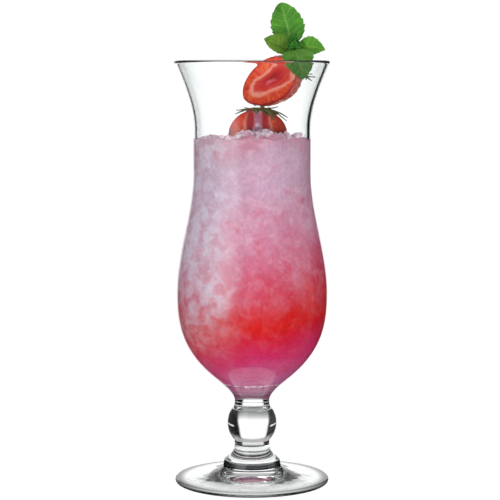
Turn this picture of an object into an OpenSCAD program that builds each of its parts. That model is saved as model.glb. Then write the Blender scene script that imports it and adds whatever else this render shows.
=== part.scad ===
// Hurricane glass holding a layered iced drink, with a garnish of two strawberry halves and a mint sprig.
// Millimetres. The origin is the middle of the foot's underside, +Z is up, and -Y faces the viewer.

/* [Foot] */
// Diameter of the foot
foot_d = 75.2; // [70:0.1:80]
// Thickness of the foot at its rounded edge
foot_edge = 2.4; // [2:0.1:3.2]
// Height of the foot where the stem is joined to it
foot_h = 8.2; // [7:0.1:10]
// Width of the flat ring that the glass stands on
rest_ring_w = 4.4; // [3:0.1:8]
// Height of the hollow under the middle of the foot
foot_hollow_h = 2.2; // [1:0.1:3]

/* [Stem] */
// Diameter of the collar where it meets the foot
collar_d = 28.2; // [24:0.1:32]
// Height of the collar
collar_h = 3; // [2:0.1:5]
// Height of the groove that sets the collar off from the flare
groove_h = 0.9; // [0.5:0.1:1.5]
// Depth of that groove
groove_depth = 1.2; // [0.6:0.1:1.6]
// Height of the flare above the groove
flare_h = 5.1; // [3:0.1:8]
// Diameter of the thin necks under and over the knop
neck_d = 17.1; // [14:0.1:19]
// Height of the neck between the flare and the knop
low_neck_h = 3.5; // [2:0.1:6]
// Diameter of the round knop
knop_d = 24.2; // [22:0.1:28]
// Diameter at which the knop stops against the ring
knop_top_d = 19.6; // [18:0.1:21]
// Diameter of the ring between the knop and the bowl
ring_d = 17.9; // [17.4:0.1:20]
// Height of the ring
ring_h = 1.7; // [1:0.1:3]
// Height of the plain neck between the ring and the bowl
top_neck_h = 2.7; // [1.5:0.1:5]

/* [Bowl] */
// Height of the bowl from the stem to the top of the rim
bowl_h = 165.3; // [150:0.1:175]
// Outer diameter of the rim
rim_d = 75.6; // [68:0.1:80]
// Outer diameter of the waist
waist_d = 57.2; // [54:0.1:62]
// Height of the top of the straight waist above the stem
waist_top_h = 132.3; // [126:0.1:138]
// Height of the bottom of the straight waist above the stem
waist_low_h = 111.3; // [104:0.1:118]
// Largest outer diameter of the bulb
bulb_d = 73.6; // [68:0.1:78]
// Height of the widest part of the bulb above the stem
bulb_h = 52.6; // [46:0.1:58]
// Outer diameter where the bulb turns in towards the stem
root_d = 41.8; // [38:0.1:46]
// Height of that turn above the stem
root_h = 13.1; // [11:0.1:16]
// Thickness of the glass wall
wall = 1.8; // [1.5:0.1:2.4]
// Thickness of the solid glass under the inside of the bowl
base_t = 5.2; // [4:0.1:7]

/* [Drink] */
// Height of the clear syrup layer above the stem
syrup_top_h = 26.8; // [22:0.1:32]
// Height of the red layer's top above the stem
red_top_h = 49; // [40:0.1:58]
// Distance of the drink's surface below the rim
rim_space = 38; // [33:0.1:43]
// Length of one lump of crushed ice
chip_size = 5; // [3.5:0.1:6]
// Number of ice lumps along the wall
chip_count = 9; // [5:1:11]
// Number of ice lumps in front of the lower strawberry
front_chip_count = 4; // [2:1:5]

/* [Strawberries] */
// Diameter of the lower strawberry
low_berry_d = 28.2; // [24:0.1:31]
// Length of the lower strawberry
low_berry_len = 30.5; // [26:0.1:36]
// Depth of the lower strawberry's tip under the drink's surface
low_berry_sink = 15.8; // [12:0.1:18]
// Distance of the lower strawberry to the right of the glass's axis
low_berry_x = 2.8; // [0:0.1:5]
// Distance of the lower strawberry's cut face in front of the glass's axis
low_berry_front = 5; // [2:0.1:8]
// Diameter of the upper strawberry
top_berry_d = 22; // [20:0.1:26]
// Length of the upper strawberry
top_berry_len = 33.5; // [30:0.1:37]
// Distance of the upper strawberry's middle to the right of the lower one's
top_berry_shift = 6.4; // [4:0.1:9]
// Rise of the upper strawberry's axis from its tip to its leaves
top_berry_tilt = 28; // [22:1:40]
// Turn of the upper strawberry's cut face to the left
top_berry_turn = 30; // [10:1:40]
// Flesh left in front of the upper strawberry's axis
top_berry_front = 4.5; // [3:0.1:6]
// Diameter of the round middle of a strawberry's leaf crown
crown_hub_d = 11; // [9:0.1:13]
// Length of a crown leaf from the middle of the crown
crown_leaf_len = 14; // [11:0.1:17]
// Thickness of a crown leaf
crown_t = 0.6; // [0.4:0.1:1]

/* [Pick] */
// Diameter of the wooden pick
pick_d = 2; // [1.8:0.1:2.5]
// Length of the wooden pick
pick_len = 48; // [42:0.1:52]
// Distance of the pick to the right of the lower strawberry's axis
pick_shift = 2.2; // [0:0.1:4]
// Distance of the pick behind the lower strawberry's cut face
pick_depth = 4; // [3:0.1:6]

/* [Mint] */
// Diameter of the mint stem
mint_stem_d = 1.8; // [1.5:0.1:2.4]
// Length of the mint stem inside the strawberry
mint_hold = 8; // [5:0.1:10]
// Distance of the mint stem to the right of the upper strawberry's middle
mint_shift = 10.6; // [9:0.1:12]
// Height of the leaf joint above the upper strawberry's middle
mint_rise = 16; // [15:0.1:20]
// Thickness of a mint leaf at its midrib
leaf_t = 0.7; // [0.5:0.1:1]
// Height by which the flesh between two side veins bulges
vein_rise = 0.25; // [0:0.01:0.4]
// Width of the large leaf behind the sprig
back_leaf_w = 17; // [14:0.1:19]
// Width of the leaf on the left
left_leaf_w = 12; // [10:0.1:13]
// Width of the leaf on the right
right_leaf_w = 11; // [9:0.1:12]
// Width of the large leaf in front
front_leaf_w = 15.5; // [13:0.1:17]
// Distance between the front leaf's tip and the inside of the rim
front_leaf_gap = 6.3; // [5:0.1:8]
// Direction of that tip from the glass's axis, turned from the right towards the viewer
front_leaf_bearing = 38.6; // [34:0.1:42]
// Drop of that tip below the leaf joint
front_leaf_drop = 14; // [10:0.1:15]
// Width of the young leaf in front
young_front_w = 4.6; // [3.5:0.1:6]
// Width of the young leaf behind it
young_back_w = 3.2; // [2.4:0.1:4]
// Number of teeth along each side of a large leaf
leaf_teeth = 8; // [5:1:10]

/* [Fits] */
// Gap all round between the drink and the glass
drink_gap = 0.05; // [0.02:0.01:0.1]
// Gap between a strawberry and its leaf crown
crown_gap = 0.25; // [0.2:0.01:0.4]
// Radial clearance of the pick and the mint stem in the flesh
pick_clear = 0.05; // [0.02:0.01:0.08]
// Clearance between pieces that are lifted apart
lift_gap = 0.3; // [0.2:0.05:0.5]

/* [Hidden] */
$fn = 96;

// How far cuts run past what they cut
overrun = bowl_h;

// Heights of the joints, from the table up
flare_z = foot_h + collar_h + groove_h;
low_neck_z = flare_z + flare_h;
knop_r = knop_d / 2;
neck_r = neck_d / 2;
knop_z = low_neck_z + low_neck_h + sqrt(pow(knop_r, 2) - pow(neck_r, 2));
ring_z = knop_z + sqrt(pow(knop_r, 2) - pow(knop_top_d / 2, 2));
bowl_z = ring_z + ring_h + top_neck_h;
drink_top_h = bowl_h - rim_space;
drink_z = bowl_z + drink_top_h;

// Slopes of the bowl's outline, as radius gained per unit of height
neck_slope_share = 0.2;
root_slope_share = 1.1;
rim_slope_share = 0.4;
rim_angle = atan(rim_slope_share);

// Points on a smooth curve between two knots [radius, height, slope]
function knot_curve(a, b, steps) = [for (i = [0:steps - 1]) let (t = i / steps, h = b[1] - a[1]) [
    a[0] * (1 + 2 * t) * pow(1 - t, 2) + b[0] * pow(t, 2) * (3 - 2 * t)
    + h * (a[2] * t * pow(1 - t, 2) - b[2] * pow(t, 2) * (1 - t)),
    a[1] + h * t
]];
function bezier(p, t) = pow(1 - t, 3) * p[0] + 3 * t * pow(1 - t, 2) * p[1]
    + 3 * pow(t, 2) * (1 - t) * p[2] + pow(t, 3) * p[3];
function bezier_points(p, steps) = [for (i = [0:steps]) bezier(p, i / steps)];
function unit(v) = v / norm(v);

// The outside of the bowl from the turn above the stem to the start of the lip
root_knot = [root_d / 2, root_h, root_slope_share];
bulb_knot = [bulb_d / 2, bulb_h, 0];
waist_low_knot = [waist_d / 2, waist_low_h, 0];
waist_top_knot = [waist_d / 2, waist_top_h, 0];
lip_r = wall / 2;
lip_knot = [
    rim_d / 2 - lip_r * (1 - cos(rim_angle)),
    bowl_h - lip_r * (1 + sin(rim_angle)),
    rim_slope_share
];
outer_side = concat(
    knot_curve(root_knot, bulb_knot, 16),
    knot_curve(bulb_knot, waist_low_knot, 14),
    knot_curve(waist_low_knot, waist_top_knot, 2),
    knot_curve(waist_top_knot, lip_knot, 12),
    [[lip_knot[0], lip_knot[1]]]
);

// The same line moved inwards by a distance, square to the curve
function inward(line, d) = [for (i = [0:len(line) - 1])
    let (along = i == 0 ? [root_slope_share, 1]
        : i == len(line) - 1 ? [rim_slope_share, 1]
        : line[i + 1] - line[i - 1])
    line[i] + d * unit([-along[1], along[0]])];

// The inside of the bowl from the middle of its floor to the lip, drawn in by a gap
floor_pull_share = 0.42;
floor_rise_share = 0.8;
function inner_side(gap) = let (
    side = inward(outer_side, wall + gap),
    start = side[0],
    floor_h = base_t + gap,
    rise = start[1] - floor_h
) concat(
    bezier_points([
        [0, floor_h],
        [start[0] * floor_pull_share, floor_h],
        start - rise * unit([root_slope_share, 1]) * floor_rise_share,
        start
    ], 10),
    [for (i = [1:len(side) - 1]) side[i]]
);

// The round lip that joins the outside to the inside
lip_middle = [lip_knot[0], lip_knot[1]] + lip_r * unit([-1, rim_slope_share]);
lip = [for (i = [1:7]) lip_middle + lip_r * [cos(180 * i / 8 - rim_angle), sin(180 * i / 8 - rim_angle)]];
function reversed(list) = [for (i = [len(list) - 1:-1:0]) list[i]];

module bowl() {
    color([0.86, 0.9, 0.93, 0.35])
        translate([0, 0, bowl_z])
            rotate_extrude()
                polygon(concat(
                    [[0, 0]],
                    knot_curve([neck_r, 0, neck_slope_share], root_knot, 10),
                    outer_side,
                    lip,
                    reversed(inner_side(0))
                ));
}

// The flare, the knop and the ring between the foot and the bowl
flare_share = 1.6;
module stem() {
    collar_r = collar_d / 2;
    collar_top_r = collar_r - groove_depth / 2;
    flare_r = collar_top_r - groove_depth;
    knop_low_angle = -acos(neck_r / knop_r);
    knop_top_angle = acos(knop_top_d / knop_d);
    flare = [for (i = [0:8])
        [neck_r + (flare_r - neck_r) * pow(1 - i / 8, flare_share), flare_z + flare_h * i / 8]];
    knop = [for (i = [0:24]) let (a = knop_low_angle + (knop_top_angle - knop_low_angle) * i / 24)
        [knop_r * cos(a), knop_z + knop_r * sin(a)]];
    color([0.86, 0.9, 0.93, 0.35])
        rotate_extrude()
            polygon(concat(
                [[0, foot_h], [collar_r, foot_h], [collar_top_r, foot_h + collar_h]],
                flare,
                knop,
                [
                    [ring_d / 2, ring_z],
                    [ring_d / 2, ring_z + ring_h],
                    [neck_r, ring_z + ring_h + groove_h / 3],
                    [neck_r, bowl_z],
                    [0, bowl_z]
                ]
            ));
}

// A shallow dished foot with a rounded edge, standing on a flat ring. Two handles shape its upper side:
// each has a share of the diameter and a share of the rise.
foot_low_share = [0.3, 0.2];
foot_high_share = [0.22, 0.45];
module foot() {
    edge_r = foot_edge / 2;
    edge_x = foot_d / 2 - edge_r;
    ring_in = edge_x - rest_ring_w;
    edge = [for (i = [0:8]) [edge_x + edge_r * sin(180 * i / 8), edge_r - edge_r * cos(180 * i / 8)]];
    top = bezier_points([
        [edge_x, foot_edge],
        [foot_d * foot_low_share[0], foot_edge + (foot_h - foot_edge) * foot_low_share[1]],
        [foot_d * foot_high_share[0], foot_edge + (foot_h - foot_edge) * foot_high_share[1]],
        [collar_d / 2, foot_h]
    ], 12);
    under = [for (i = [0:8]) [ring_in * (1 - i / 8), foot_hollow_h * sin(90 * i / 8)]];
    color([0.86, 0.9, 0.93, 0.35])
        rotate_extrude()
            polygon(concat(edge, [for (i = [1:12]) top[i]], [[0, foot_h]], reversed(under)));
}

// A band of the drink between two heights above the stem
module drink_band(low_h, top_h) {
    translate([0, 0, bowl_z])
        rotate_extrude()
            intersection() {
                polygon(concat(inner_side(drink_gap), [[0, bowl_h]]));
                translate([0, low_h])
                    square([rim_d, top_h - low_h]);
            }
}

module syrup_layer() {
    color([0.85, 0.2, 0.5])
        drink_band(0, syrup_top_h);
}

module red_layer() {
    color([0.93, 0.22, 0.3])
        drink_band(syrup_top_h, red_top_h);
}

module ice_slush() {
    color([0.9, 0.66, 0.76])
        difference() {
            drink_band(red_top_h, drink_top_h);
            low_berry_place()
                berry_half(low_berry_len, low_berry_d, 0, lift_gap, true);
        }
}

// Tilted blocks of ice, cut flat where they lie on the drink's surface. The lean changes with the turn.
surface_r = waist_d / 2 - wall - drink_gap;
chip_size_share = [1, 0.72, 0.62];
chip_inset_share = 0.75;
chip_lean_angle = [20, 25];
chip_lean_share = [0.2, -0.15];
module ice_chip(at, turn) {
    translate([at[0], at[1], drink_z])
        intersection() {
            rotate([
                chip_lean_angle[0] + chip_lean_share[0] * turn,
                chip_lean_angle[1] + chip_lean_share[1] * turn,
                turn
            ])
                cube(chip_size * chip_size_share, center = true);
            translate([-chip_size, -chip_size, 0])
                cube(chip_size * 2);
        }
}

// Lumps along the wall, except at the front on the right, and a row in front of the lower strawberry
chip_arc = 300;
chip_start = -20;
chip_turn = 67;
front_chip_turn = 47;
front_chip_pitch_share = 1.3;
module ice_chips() {
    ring_r = surface_r - chip_size * chip_inset_share;
    front_y = -low_berry_front - lift_gap - chip_size * chip_inset_share;
    color([0.97, 0.94, 0.97]) {
        for (i = [0:chip_count - 1])
            let (bearing = chip_start + chip_arc * i / chip_count)
                ice_chip(ring_r * [cos(bearing), sin(bearing)], chip_turn * i);
        for (i = [0:front_chip_count - 1])
            let (step = i - (front_chip_count - 1) / 2)
                ice_chip(
                    [low_berry_x + chip_size * front_chip_pitch_share * step, front_y],
                    front_chip_turn * i
                );
    }
}

// Half of a strawberry's outline, from its tip up, with its widest point at a share of its length
berry_wide_share = 0.6;
berry_dimple_share = 0.04;
berry_blunt_share = 0.62;
function berry_share(u) = u < berry_wide_share
    ? pow(1 - pow(1 - u / berry_wide_share, 2), berry_blunt_share)
    : sqrt(max(0, 1 - pow((u - berry_wide_share) / (1 - berry_wide_share), 2)));
berry_step_shares = [0.015, 0.06, 0.13, 0.22, 0.32, 0.42, 0.51, 0.6, 0.68, 0.76, 0.83, 0.89, 0.94, 0.975];
function berry_outline(length, d, grow) = [for (u = berry_step_shares)
    [berry_share(u) * (d / 2 + grow), u * (length + 2 * grow) - grow]];
function berry_pocket(length, d, grow) = [for (p = berry_outline(length, d, grow))
    if (p[1] <= berry_wide_share * length) p];

// One half of a strawberry, its tip at the origin and its cut face towards -Y
module berry_half(length, d, front, grow, pocket) {
    side = pocket ? berry_pocket(length, d, grow) : berry_outline(length, d, grow);
    cap = pocket
        ? [[d / 2 + grow, length * 2], [0, length * 2]]
        : [[0, length * (1 - berry_dimple_share)]];
    difference() {
        rotate_extrude()
            polygon(concat([[0, -grow]], side, cap));
        translate([-overrun / 2, -overrun - front - grow, -overrun / 2])
            cube(overrun);
    }
}

low_tip_z = drink_z - low_berry_sink;
low_berry_y = -low_berry_front;
module low_berry_place() {
    translate([low_berry_x, low_berry_y, low_tip_z])
        children();
}

// The straight pick that carries both strawberries
pick_x = low_berry_x + pick_shift;
pick_y = low_berry_y + pick_depth;
pick_tip_share = 0.12;
pick_z = low_tip_z + low_berry_len * pick_tip_share;
module pick() {
    point_h = pick_d;
    color([0.8, 0.66, 0.42])
        translate([pick_x, pick_y, pick_z])
            rotate_extrude()
                polygon([
                    [0, 0], [pick_d / 8, 0], [pick_d / 2, point_h],
                    [pick_d / 2, pick_len], [0, pick_len]
                ]);
}

module pick_hole(clear) {
    translate([pick_x, pick_y, pick_z - lift_gap])
        cylinder(d = pick_d + 2 * clear, h = pick_len + 2 * lift_gap);
}

module lower_berry() {
    color([0.85, 0.2, 0.12])
        difference() {
            low_berry_place()
                berry_half(low_berry_len, low_berry_d, 0, 0, false);
            pick_hole(pick_clear);
        }
}

// A crown of pointed leaves that lies over a strawberry's rounded top. Each leaf has a bearing,
// a share of the full length and a share of the top's own fall, so that some leaves lift off it.
half_crown_shares = [
    [-2, 1, 0.75], [28, 0.8, 0.85], [58, 0.95, 0.7], [90, 0.75, 0.85],
    [120, 1, 0.7], [150, 0.8, 0.8], [178, 0.75, 0.35]
];
crown_rings = 5;
crown_half_angle = 13;
module berry_crown(length, d, leaves) {
    hub_r = crown_hub_d / 2;
    dome_h = (1 - berry_wide_share) * length;
    hub_drop = dome_h * (1 - sqrt(1 - pow(2 * hub_r / d, 2)));
    fall = 2 * dome_h / pow(d, 2);
    spokes = concat(
        [[leaves[0][0] - crown_half_angle * 2, hub_r, leaves[0][2]]],
        [for (leaf = leaves, side = [-1, 0, 1])
            [leaf[0] + side * crown_half_angle, side == 0 ? crown_leaf_len * leaf[1] : hub_r, leaf[2]]],
        [[leaves[len(leaves) - 1][0] + crown_half_angle * 2, hub_r, leaves[len(leaves) - 1][2]]]
    );
    columns = len(spokes);
    function drop(r, lift) = r < hub_r
        ? dome_h * (1 - sqrt(1 - pow(2 * r / d, 2)))
        : hub_drop + lift * fall * (pow(r, 2) - pow(hub_r, 2));
    function skin(up) = [for (ring = [1:crown_rings], spoke = spokes)
        let (r = spoke[1] * ring / crown_rings, thin = 1 - max(0, r - hub_r) / (2 * crown_leaf_len))
        [r * cos(spoke[0]), r * sin(spoke[0]), up * thin - drop(r, spoke[2])]];
    count = crown_rings * columns;
    top_hub = 2 * count;
    low_hub = top_hub + 1;
    function quad(a, b, c, d) = [[a, b, c], [a, c, d]];
    faces = concat(
        [for (i = [0:columns - 2]) each [[top_hub, i + 1, i], [low_hub, count + i, count + i + 1]]],
        [for (k = [0:crown_rings - 2], i = [0:columns - 2]) let (a = k * columns + i, b = a + columns)
            each concat(
                quad(a, a + 1, b + 1, b),
                quad(count + a, count + b, count + b + 1, count + a + 1)
            )],
        [for (i = [0:columns - 2]) let (a = (crown_rings - 1) * columns + i)
            each quad(a, a + 1, count + a + 1, count + a)],
        [for (k = [0:crown_rings - 2], end = [0, columns - 1])
            let (a = k * columns + end, b = a + columns)
            each end == 0 ? quad(a, b, count + b, count + a) : quad(a, count + a, count + b, b)],
        [[top_hub, 0, count], [top_hub, count, low_hub]],
        [[top_hub, count + columns - 1, columns - 1], [top_hub, low_hub, count + columns - 1]]
    );
    translate([0, 0, length + crown_gap])
        polyhedron(
            points = concat(skin(crown_t), skin(0), [[0, 0, crown_t], [0, 0, 0]]),
            faces = faces
        );
}

module lower_crown() {
    color([0.33, 0.5, 0.2])
        difference() {
            low_berry_place()
                berry_crown(low_berry_len, low_berry_d, half_crown_shares);
            pick_hole(lift_gap);
        }
}

// The upper strawberry lies over the lower one, its middle at the origin of this place
top_berry_x = low_berry_x + top_berry_shift;
top_berry_y = low_berry_y + pick_depth / 2;
low_crown_top_z = low_tip_z + low_berry_len + crown_gap + crown_t;
top_berry_low = min([for (p = berry_outline(top_berry_len, top_berry_d, 0))
    (p[1] - top_berry_len / 2) * sin(top_berry_tilt) - p[0] * cos(top_berry_tilt)]);
top_berry_z = low_crown_top_z + lift_gap - top_berry_low;
module top_berry_place() {
    translate([top_berry_x, top_berry_y, top_berry_z])
        rotate([0, 0, -top_berry_turn])
            rotate([0, 90 - top_berry_tilt, 0])
                translate([0, 0, -top_berry_len / 2])
                    children();
}

// The mint's leaf joint, and the hole that holds its stem near the upper strawberry's cut face
mint_front_share = 0.9;
mint_x = top_berry_x + mint_shift;
mint_y = top_berry_y - mint_shift * tan(top_berry_turn) * mint_front_share;
joint = [mint_x, mint_y, top_berry_z + mint_rise];
mint_low_z = top_berry_z + top_berry_len / 2 * sin(top_berry_tilt) - mint_hold;
module mint_hole(clear) {
    translate([mint_x, mint_y, mint_low_z - lift_gap])
        cylinder(d = mint_stem_d + 2 * clear, h = joint[2] - mint_low_z);
}

module upper_berry() {
    color([0.88, 0.24, 0.12])
        difference() {
            top_berry_place()
                berry_half(top_berry_len, top_berry_d, top_berry_front, 0, false);
            pick_hole(pick_clear);
            mint_hole(pick_clear);
        }
}

module upper_crown() {
    color([0.33, 0.5, 0.2])
        difference() {
            top_berry_place()
                berry_crown(top_berry_len, top_berry_d, half_crown_shares);
            mint_hole(lift_gap);
        }
}

module mint_stem() {
    color([0.35, 0.6, 0.2])
        translate([mint_x, mint_y, mint_low_z])
            cylinder(d = mint_stem_d, h = joint[2] + mint_stem_d - mint_low_z);
}

// Where the tip of each leaf lies, seen from the leaf joint
front_tip_r = rim_d / 2 - wall - front_leaf_gap;
back_leaf = [-5.6, 5.5, 21.2];
left_leaf = [-13, -2.5, 4.6];
right_leaf = [13.4, -3, -0.6];
front_leaf = [
    front_tip_r * cos(front_leaf_bearing) - mint_x,
    -front_tip_r * sin(front_leaf_bearing) - mint_y,
    -front_leaf_drop
];
young_front_leaf = [1.2, -2.6, 5.5];
young_back_leaf = [-1.2, 1, 4.6];
young_leaf_teeth = 4;

// A mint leaf as a loft of thin sections along its midrib. The midrib is a curve through base, middle and
// tip handles, and face is the side that its upper surface looks to. Each margin is cut into teeth, and
// the flesh bulges between the side veins that run to the notches.
petiole_share = 0.14;
petiole_half_share = 0.6;
notch_share = 0.9;
thin_share = 0.5;
// Where a leaf is widest, as the power that moves it towards the tip, and how blunt its tip is
blunt_shares = [1.05, 0.6];
oval_shares = [0.95, 0.7];
pointed_shares = [0.82, 0.8];
function leaf_width_share(t, form) = t <= petiole_share
    ? 0
    : pow(sin(180 * pow((t - petiole_share) / (1 - petiole_share), form[0])), form[1]);
column_shares = [-1, -0.5, 0, 0.5, 1];
module leaf(rib, face, w, teeth, fold, form) {
    stations = 2 * teeth + 2;
    function rib_at(t) = bezier(rib, t);
    function section(i) = let (
        t = i / stations,
        step = 1 / (4 * stations),
        along = unit(rib_at(min(1, t + step)) - rib_at(max(0, t - step))),
        side = unit(cross(along, face)),
        up = cross(side, along),
        tooth = i % 2 == 0 ? 1 : notch_share,
        share = leaf_width_share(t, form),
        bulge = i % 2 == 0 ? vein_rise * share * w / back_leaf_w : 0,
        half = max(leaf_t * petiole_half_share, w / 2 * share * tooth),
        middle = rib_at(t),
        top = [for (s = column_shares)
            middle + side * (s * half) + up * (half * tan(fold) * abs(s) + bulge * sin(180 * abs(s)))]
    ) concat(
        top,
        [for (k = [len(top) - 1:-1:0]) top[k] - up * leaf_t * (1 - thin_share * abs(column_shares[k]))]
    );
    n = 2 * len(column_shares);
    last = stations * n;
    points = [for (i = [0:stations]) each section(i)];
    faces = concat(
        [for (i = [0:stations - 1], k = [0:n - 1]) let (a = i * n + k, b = i * n + (k + 1) % n)
            each [[a, b, b + n], [a, b + n, a + n]]],
        [for (k = [0:len(column_shares) - 2]) let (a = k, b = k + 1, c = n - 2 - k, d = n - 1 - k)
            each [[a, c, b], [a, d, c], [last + a, last + b, last + c], [last + a, last + c, last + d]]]
    );
    polyhedron(points = points, faces = faces);
}

// A leaf of the sprig: how far up the stem it starts, its tip's place seen from there, the midrib's two
// handles as shares of that reach, the way its face looks, its width, its teeth, its fold and its form
seat_share = 0.8;
module mint_leaf(up, reach, first_share, second_share, face, w, teeth, fold, form) {
    start = mint_stem_d / 2 * seat_share * unit([reach[0], reach[1], 0]) + [0, 0, up];
    color([0.25, 0.6, 0.18])
        translate(joint)
            leaf(
                [
                    start,
                    start + [for (i = [0:2]) reach[i] * first_share[i]],
                    start + [for (i = [0:2]) reach[i] * second_share[i]],
                    start + reach
                ],
                face, w, teeth, fold, form
            );
}

module mint_back_leaf() {
    mint_leaf(
        mint_stem_d / 2, back_leaf, [0, 0.75, 0.08], [0.55, 1, 0.55], [0.12, -1, 0.3],
        back_leaf_w, leaf_teeth, 12, blunt_shares
    );
}

module mint_left_leaf() {
    mint_leaf(
        0, left_leaf, [0.3, 0.9, 0.25], [0.7, 1.2, 0.8], [0.2, -0.9, 0.35],
        left_leaf_w, leaf_teeth - 1, 20, pointed_shares
    );
}

module mint_right_leaf() {
    mint_leaf(
        0, right_leaf, [0.3, 0.9, -2], [0.7, 1.1, -2], [-0.1, -0.9, 0.4],
        right_leaf_w, leaf_teeth - 1, 18, pointed_shares
    );
}

module mint_front_leaf() {
    mint_leaf(
        0, front_leaf, [0.1, 0.5, 0], [0.6, 1, 0.3], [0, -0.75, 0.65],
        front_leaf_w, leaf_teeth, 10, oval_shares
    );
}

// The two folded young leaves at the tip of the sprig
module mint_bud() {
    mint_leaf(
        mint_stem_d, young_front_leaf, [0, 0.6, 0.3], [0.4, 1, 0.6], [0.1, -1, 0.5],
        young_front_w, young_leaf_teeth, 30, pointed_shares
    );
    mint_leaf(
        mint_stem_d, young_back_leaf, [0, 0.9, 0.3], [0.6, 1, 0.6], [0, -1, 0.2],
        young_back_w, young_leaf_teeth, 25, pointed_shares
    );
}

bowl();
stem();
foot();
syrup_layer();
red_layer();
ice_slush();
ice_chips();
lower_berry();
lower_crown();
pick();
upper_berry();
upper_crown();
mint_stem();
mint_back_leaf();
mint_left_leaf();
mint_right_leaf();
mint_front_leaf();
mint_bud();
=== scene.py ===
# %% [markdown]
# A hurricane glass with a layered iced drink, two strawberry halves and a sprig of mint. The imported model
# is the fixed frame: it says where each piece lies and which body carries it. Everything below is in
# metres. The glass stands on z = 0, and -Y faces the camera.

# %% Load the frame
import math
import random

import bmesh
import bpy
import numpy as np
from mathutils import Matrix, Vector, noise
from mathutils.kdtree import KDTree


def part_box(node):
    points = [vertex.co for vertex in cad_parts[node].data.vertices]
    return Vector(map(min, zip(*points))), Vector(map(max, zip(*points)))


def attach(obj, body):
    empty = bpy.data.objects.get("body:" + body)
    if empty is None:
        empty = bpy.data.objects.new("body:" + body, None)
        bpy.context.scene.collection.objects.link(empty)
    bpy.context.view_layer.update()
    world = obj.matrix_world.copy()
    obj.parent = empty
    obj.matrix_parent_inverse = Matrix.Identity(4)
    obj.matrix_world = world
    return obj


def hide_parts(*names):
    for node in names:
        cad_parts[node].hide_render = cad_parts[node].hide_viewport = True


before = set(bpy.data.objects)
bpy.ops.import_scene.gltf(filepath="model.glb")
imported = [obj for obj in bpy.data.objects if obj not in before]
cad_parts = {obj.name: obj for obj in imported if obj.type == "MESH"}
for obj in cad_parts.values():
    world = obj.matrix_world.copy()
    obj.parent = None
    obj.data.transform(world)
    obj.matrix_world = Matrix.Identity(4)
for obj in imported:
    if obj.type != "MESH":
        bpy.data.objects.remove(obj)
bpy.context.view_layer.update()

MM = 0.001
scene = bpy.context.scene

# %% [markdown]
# The photograph was taken from a little above the rim, about 0.9 m away, with a long lens. Those numbers
# come from how wide the ellipses of foot, rim and drink open in it.

# %% Camera
LENS = 135.9
CAMERA_PLACE = (-0.97 * MM, -913 * MM, 210.8 * MM)
DOWNWARD = 6.04
camera_data = bpy.data.cameras.new("camera")
camera_data.lens = LENS
camera_data.sensor_width = 36
camera_data.clip_end = 20
camera = bpy.data.objects.new("camera", camera_data)
camera.location = CAMERA_PLACE
camera.rotation_euler = (math.radians(90 - DOWNWARD), 0, 0)
scene.collection.objects.link(camera)
scene.camera = camera
print("camera", LENS, "mm lens")

# %% [markdown]
# The room and every finish are trees of nodes. Each node could be added and linked line by line, but that
# soon hides what a finish is made of. These helpers add a node, feed its inputs and hand back the socket
# that comes out, so a finish reads as a short list of steps. An input takes a number, a colour or another
# node's output.

# %% Node helpers


def feed(tree, node, inputs):
    """Gives inputs, named or numbered, a value each, or a link where the value is another node's output."""
    for key, value in inputs.items():
        if isinstance(key, int):
            target = node.inputs[key]
        else:
            target = next(s for s in node.inputs if s.name == key and s.enabled)
        if isinstance(value, bpy.types.NodeSocket):
            tree.links.new(value, target)
        elif target.type == "RGBA":
            target.default_value = (*value, 1)
        else:
            target.default_value = value


def add(tree, kind, inputs=None, **settings):
    """A new node with its settings made and its inputs fed."""
    node = tree.nodes.new(kind)
    for name, value in settings.items():
        setattr(node, name, value)
    feed(tree, node, inputs or {})
    return node


def math_node(tree, operation, *values):
    return add(tree, "ShaderNodeMath", dict(enumerate(values)), operation=operation).outputs[0]


def times(tree, first, second):
    return math_node(tree, "MULTIPLY", first, second)


def span_node(tree, value, low, high, to_low=0.0, to_high=1.0, kind="LINEAR"):
    """Maps the span from low to high onto another one, and holds its ends beyond it."""
    inputs = {"Value": value, "From Min": low, "From Max": high, "To Min": to_low, "To Max": to_high}
    return add(tree, "ShaderNodeMapRange", inputs, interpolation_type=kind).outputs["Result"]


def smooth_span(tree, value, *limits):
    """The same as span_node, with a soft start and a soft end."""
    return span_node(tree, value, *limits, kind="SMOOTHSTEP")


def ramp_node(tree, factor, stops, interpolation="EASE"):
    """A colour ramp with stops of (place, colour)."""
    node = add(tree, "ShaderNodeValToRGB", {0: factor})
    ramp = node.color_ramp
    ramp.interpolation = interpolation
    while len(ramp.elements) < len(stops):
        ramp.elements.new(0.5)
    for element, (place, shade) in zip(ramp.elements, stops):
        element.position = place
        element.color = (*shade, 1)
    return node.outputs[0]


def grey(value):
    return (value, value, value)


def new_finish(name):
    """A material with one Principled shader. Returns it with its tree and the shader."""
    material = bpy.data.materials.new(name)
    material.use_nodes = True
    return material, material.node_tree, material.node_tree.nodes["Principled BSDF"]


# %% [markdown]
# Clear glass shows only what is round it, so the room is part of its look. Bright-field lighting is what a
# photographer uses: white straight behind, and dark on both sides of that. The dark sides draw the black
# edges of the stem and of the rim. A pale wall stands on the right, and a brighter one at the front left,
# which the bowl mirrors as a soft band. The camera itself sees plain white. A lit model of a studio would
# do the same, but it takes far longer to render, so one group of nodes turns a direction into a brightness.

# %% Room
BACKDROP = 1.04
# A wall is given by the bearings where it starts, is full, begins to fade and ends, and by its brightness.
PALE_WALLS = ((70, 78, 104, 116, 0.5), (-166, -142, -130, -98, 1.9))


def bearing_node(tree, place):
    """The bearing of a place in half turns, 0 straight behind the glass and positive to the right. Returns it
    with its size, whichever side it is on, and the place's height."""
    parts = add(tree, "ShaderNodeSeparateXYZ", {0: place}).outputs
    bearing = math_node(tree, "DIVIDE", math_node(tree, "ARCTAN2", parts["X"], parts["Y"]), math.pi)
    return bearing, math_node(tree, "ABSOLUTE", bearing), parts["Z"]


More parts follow.
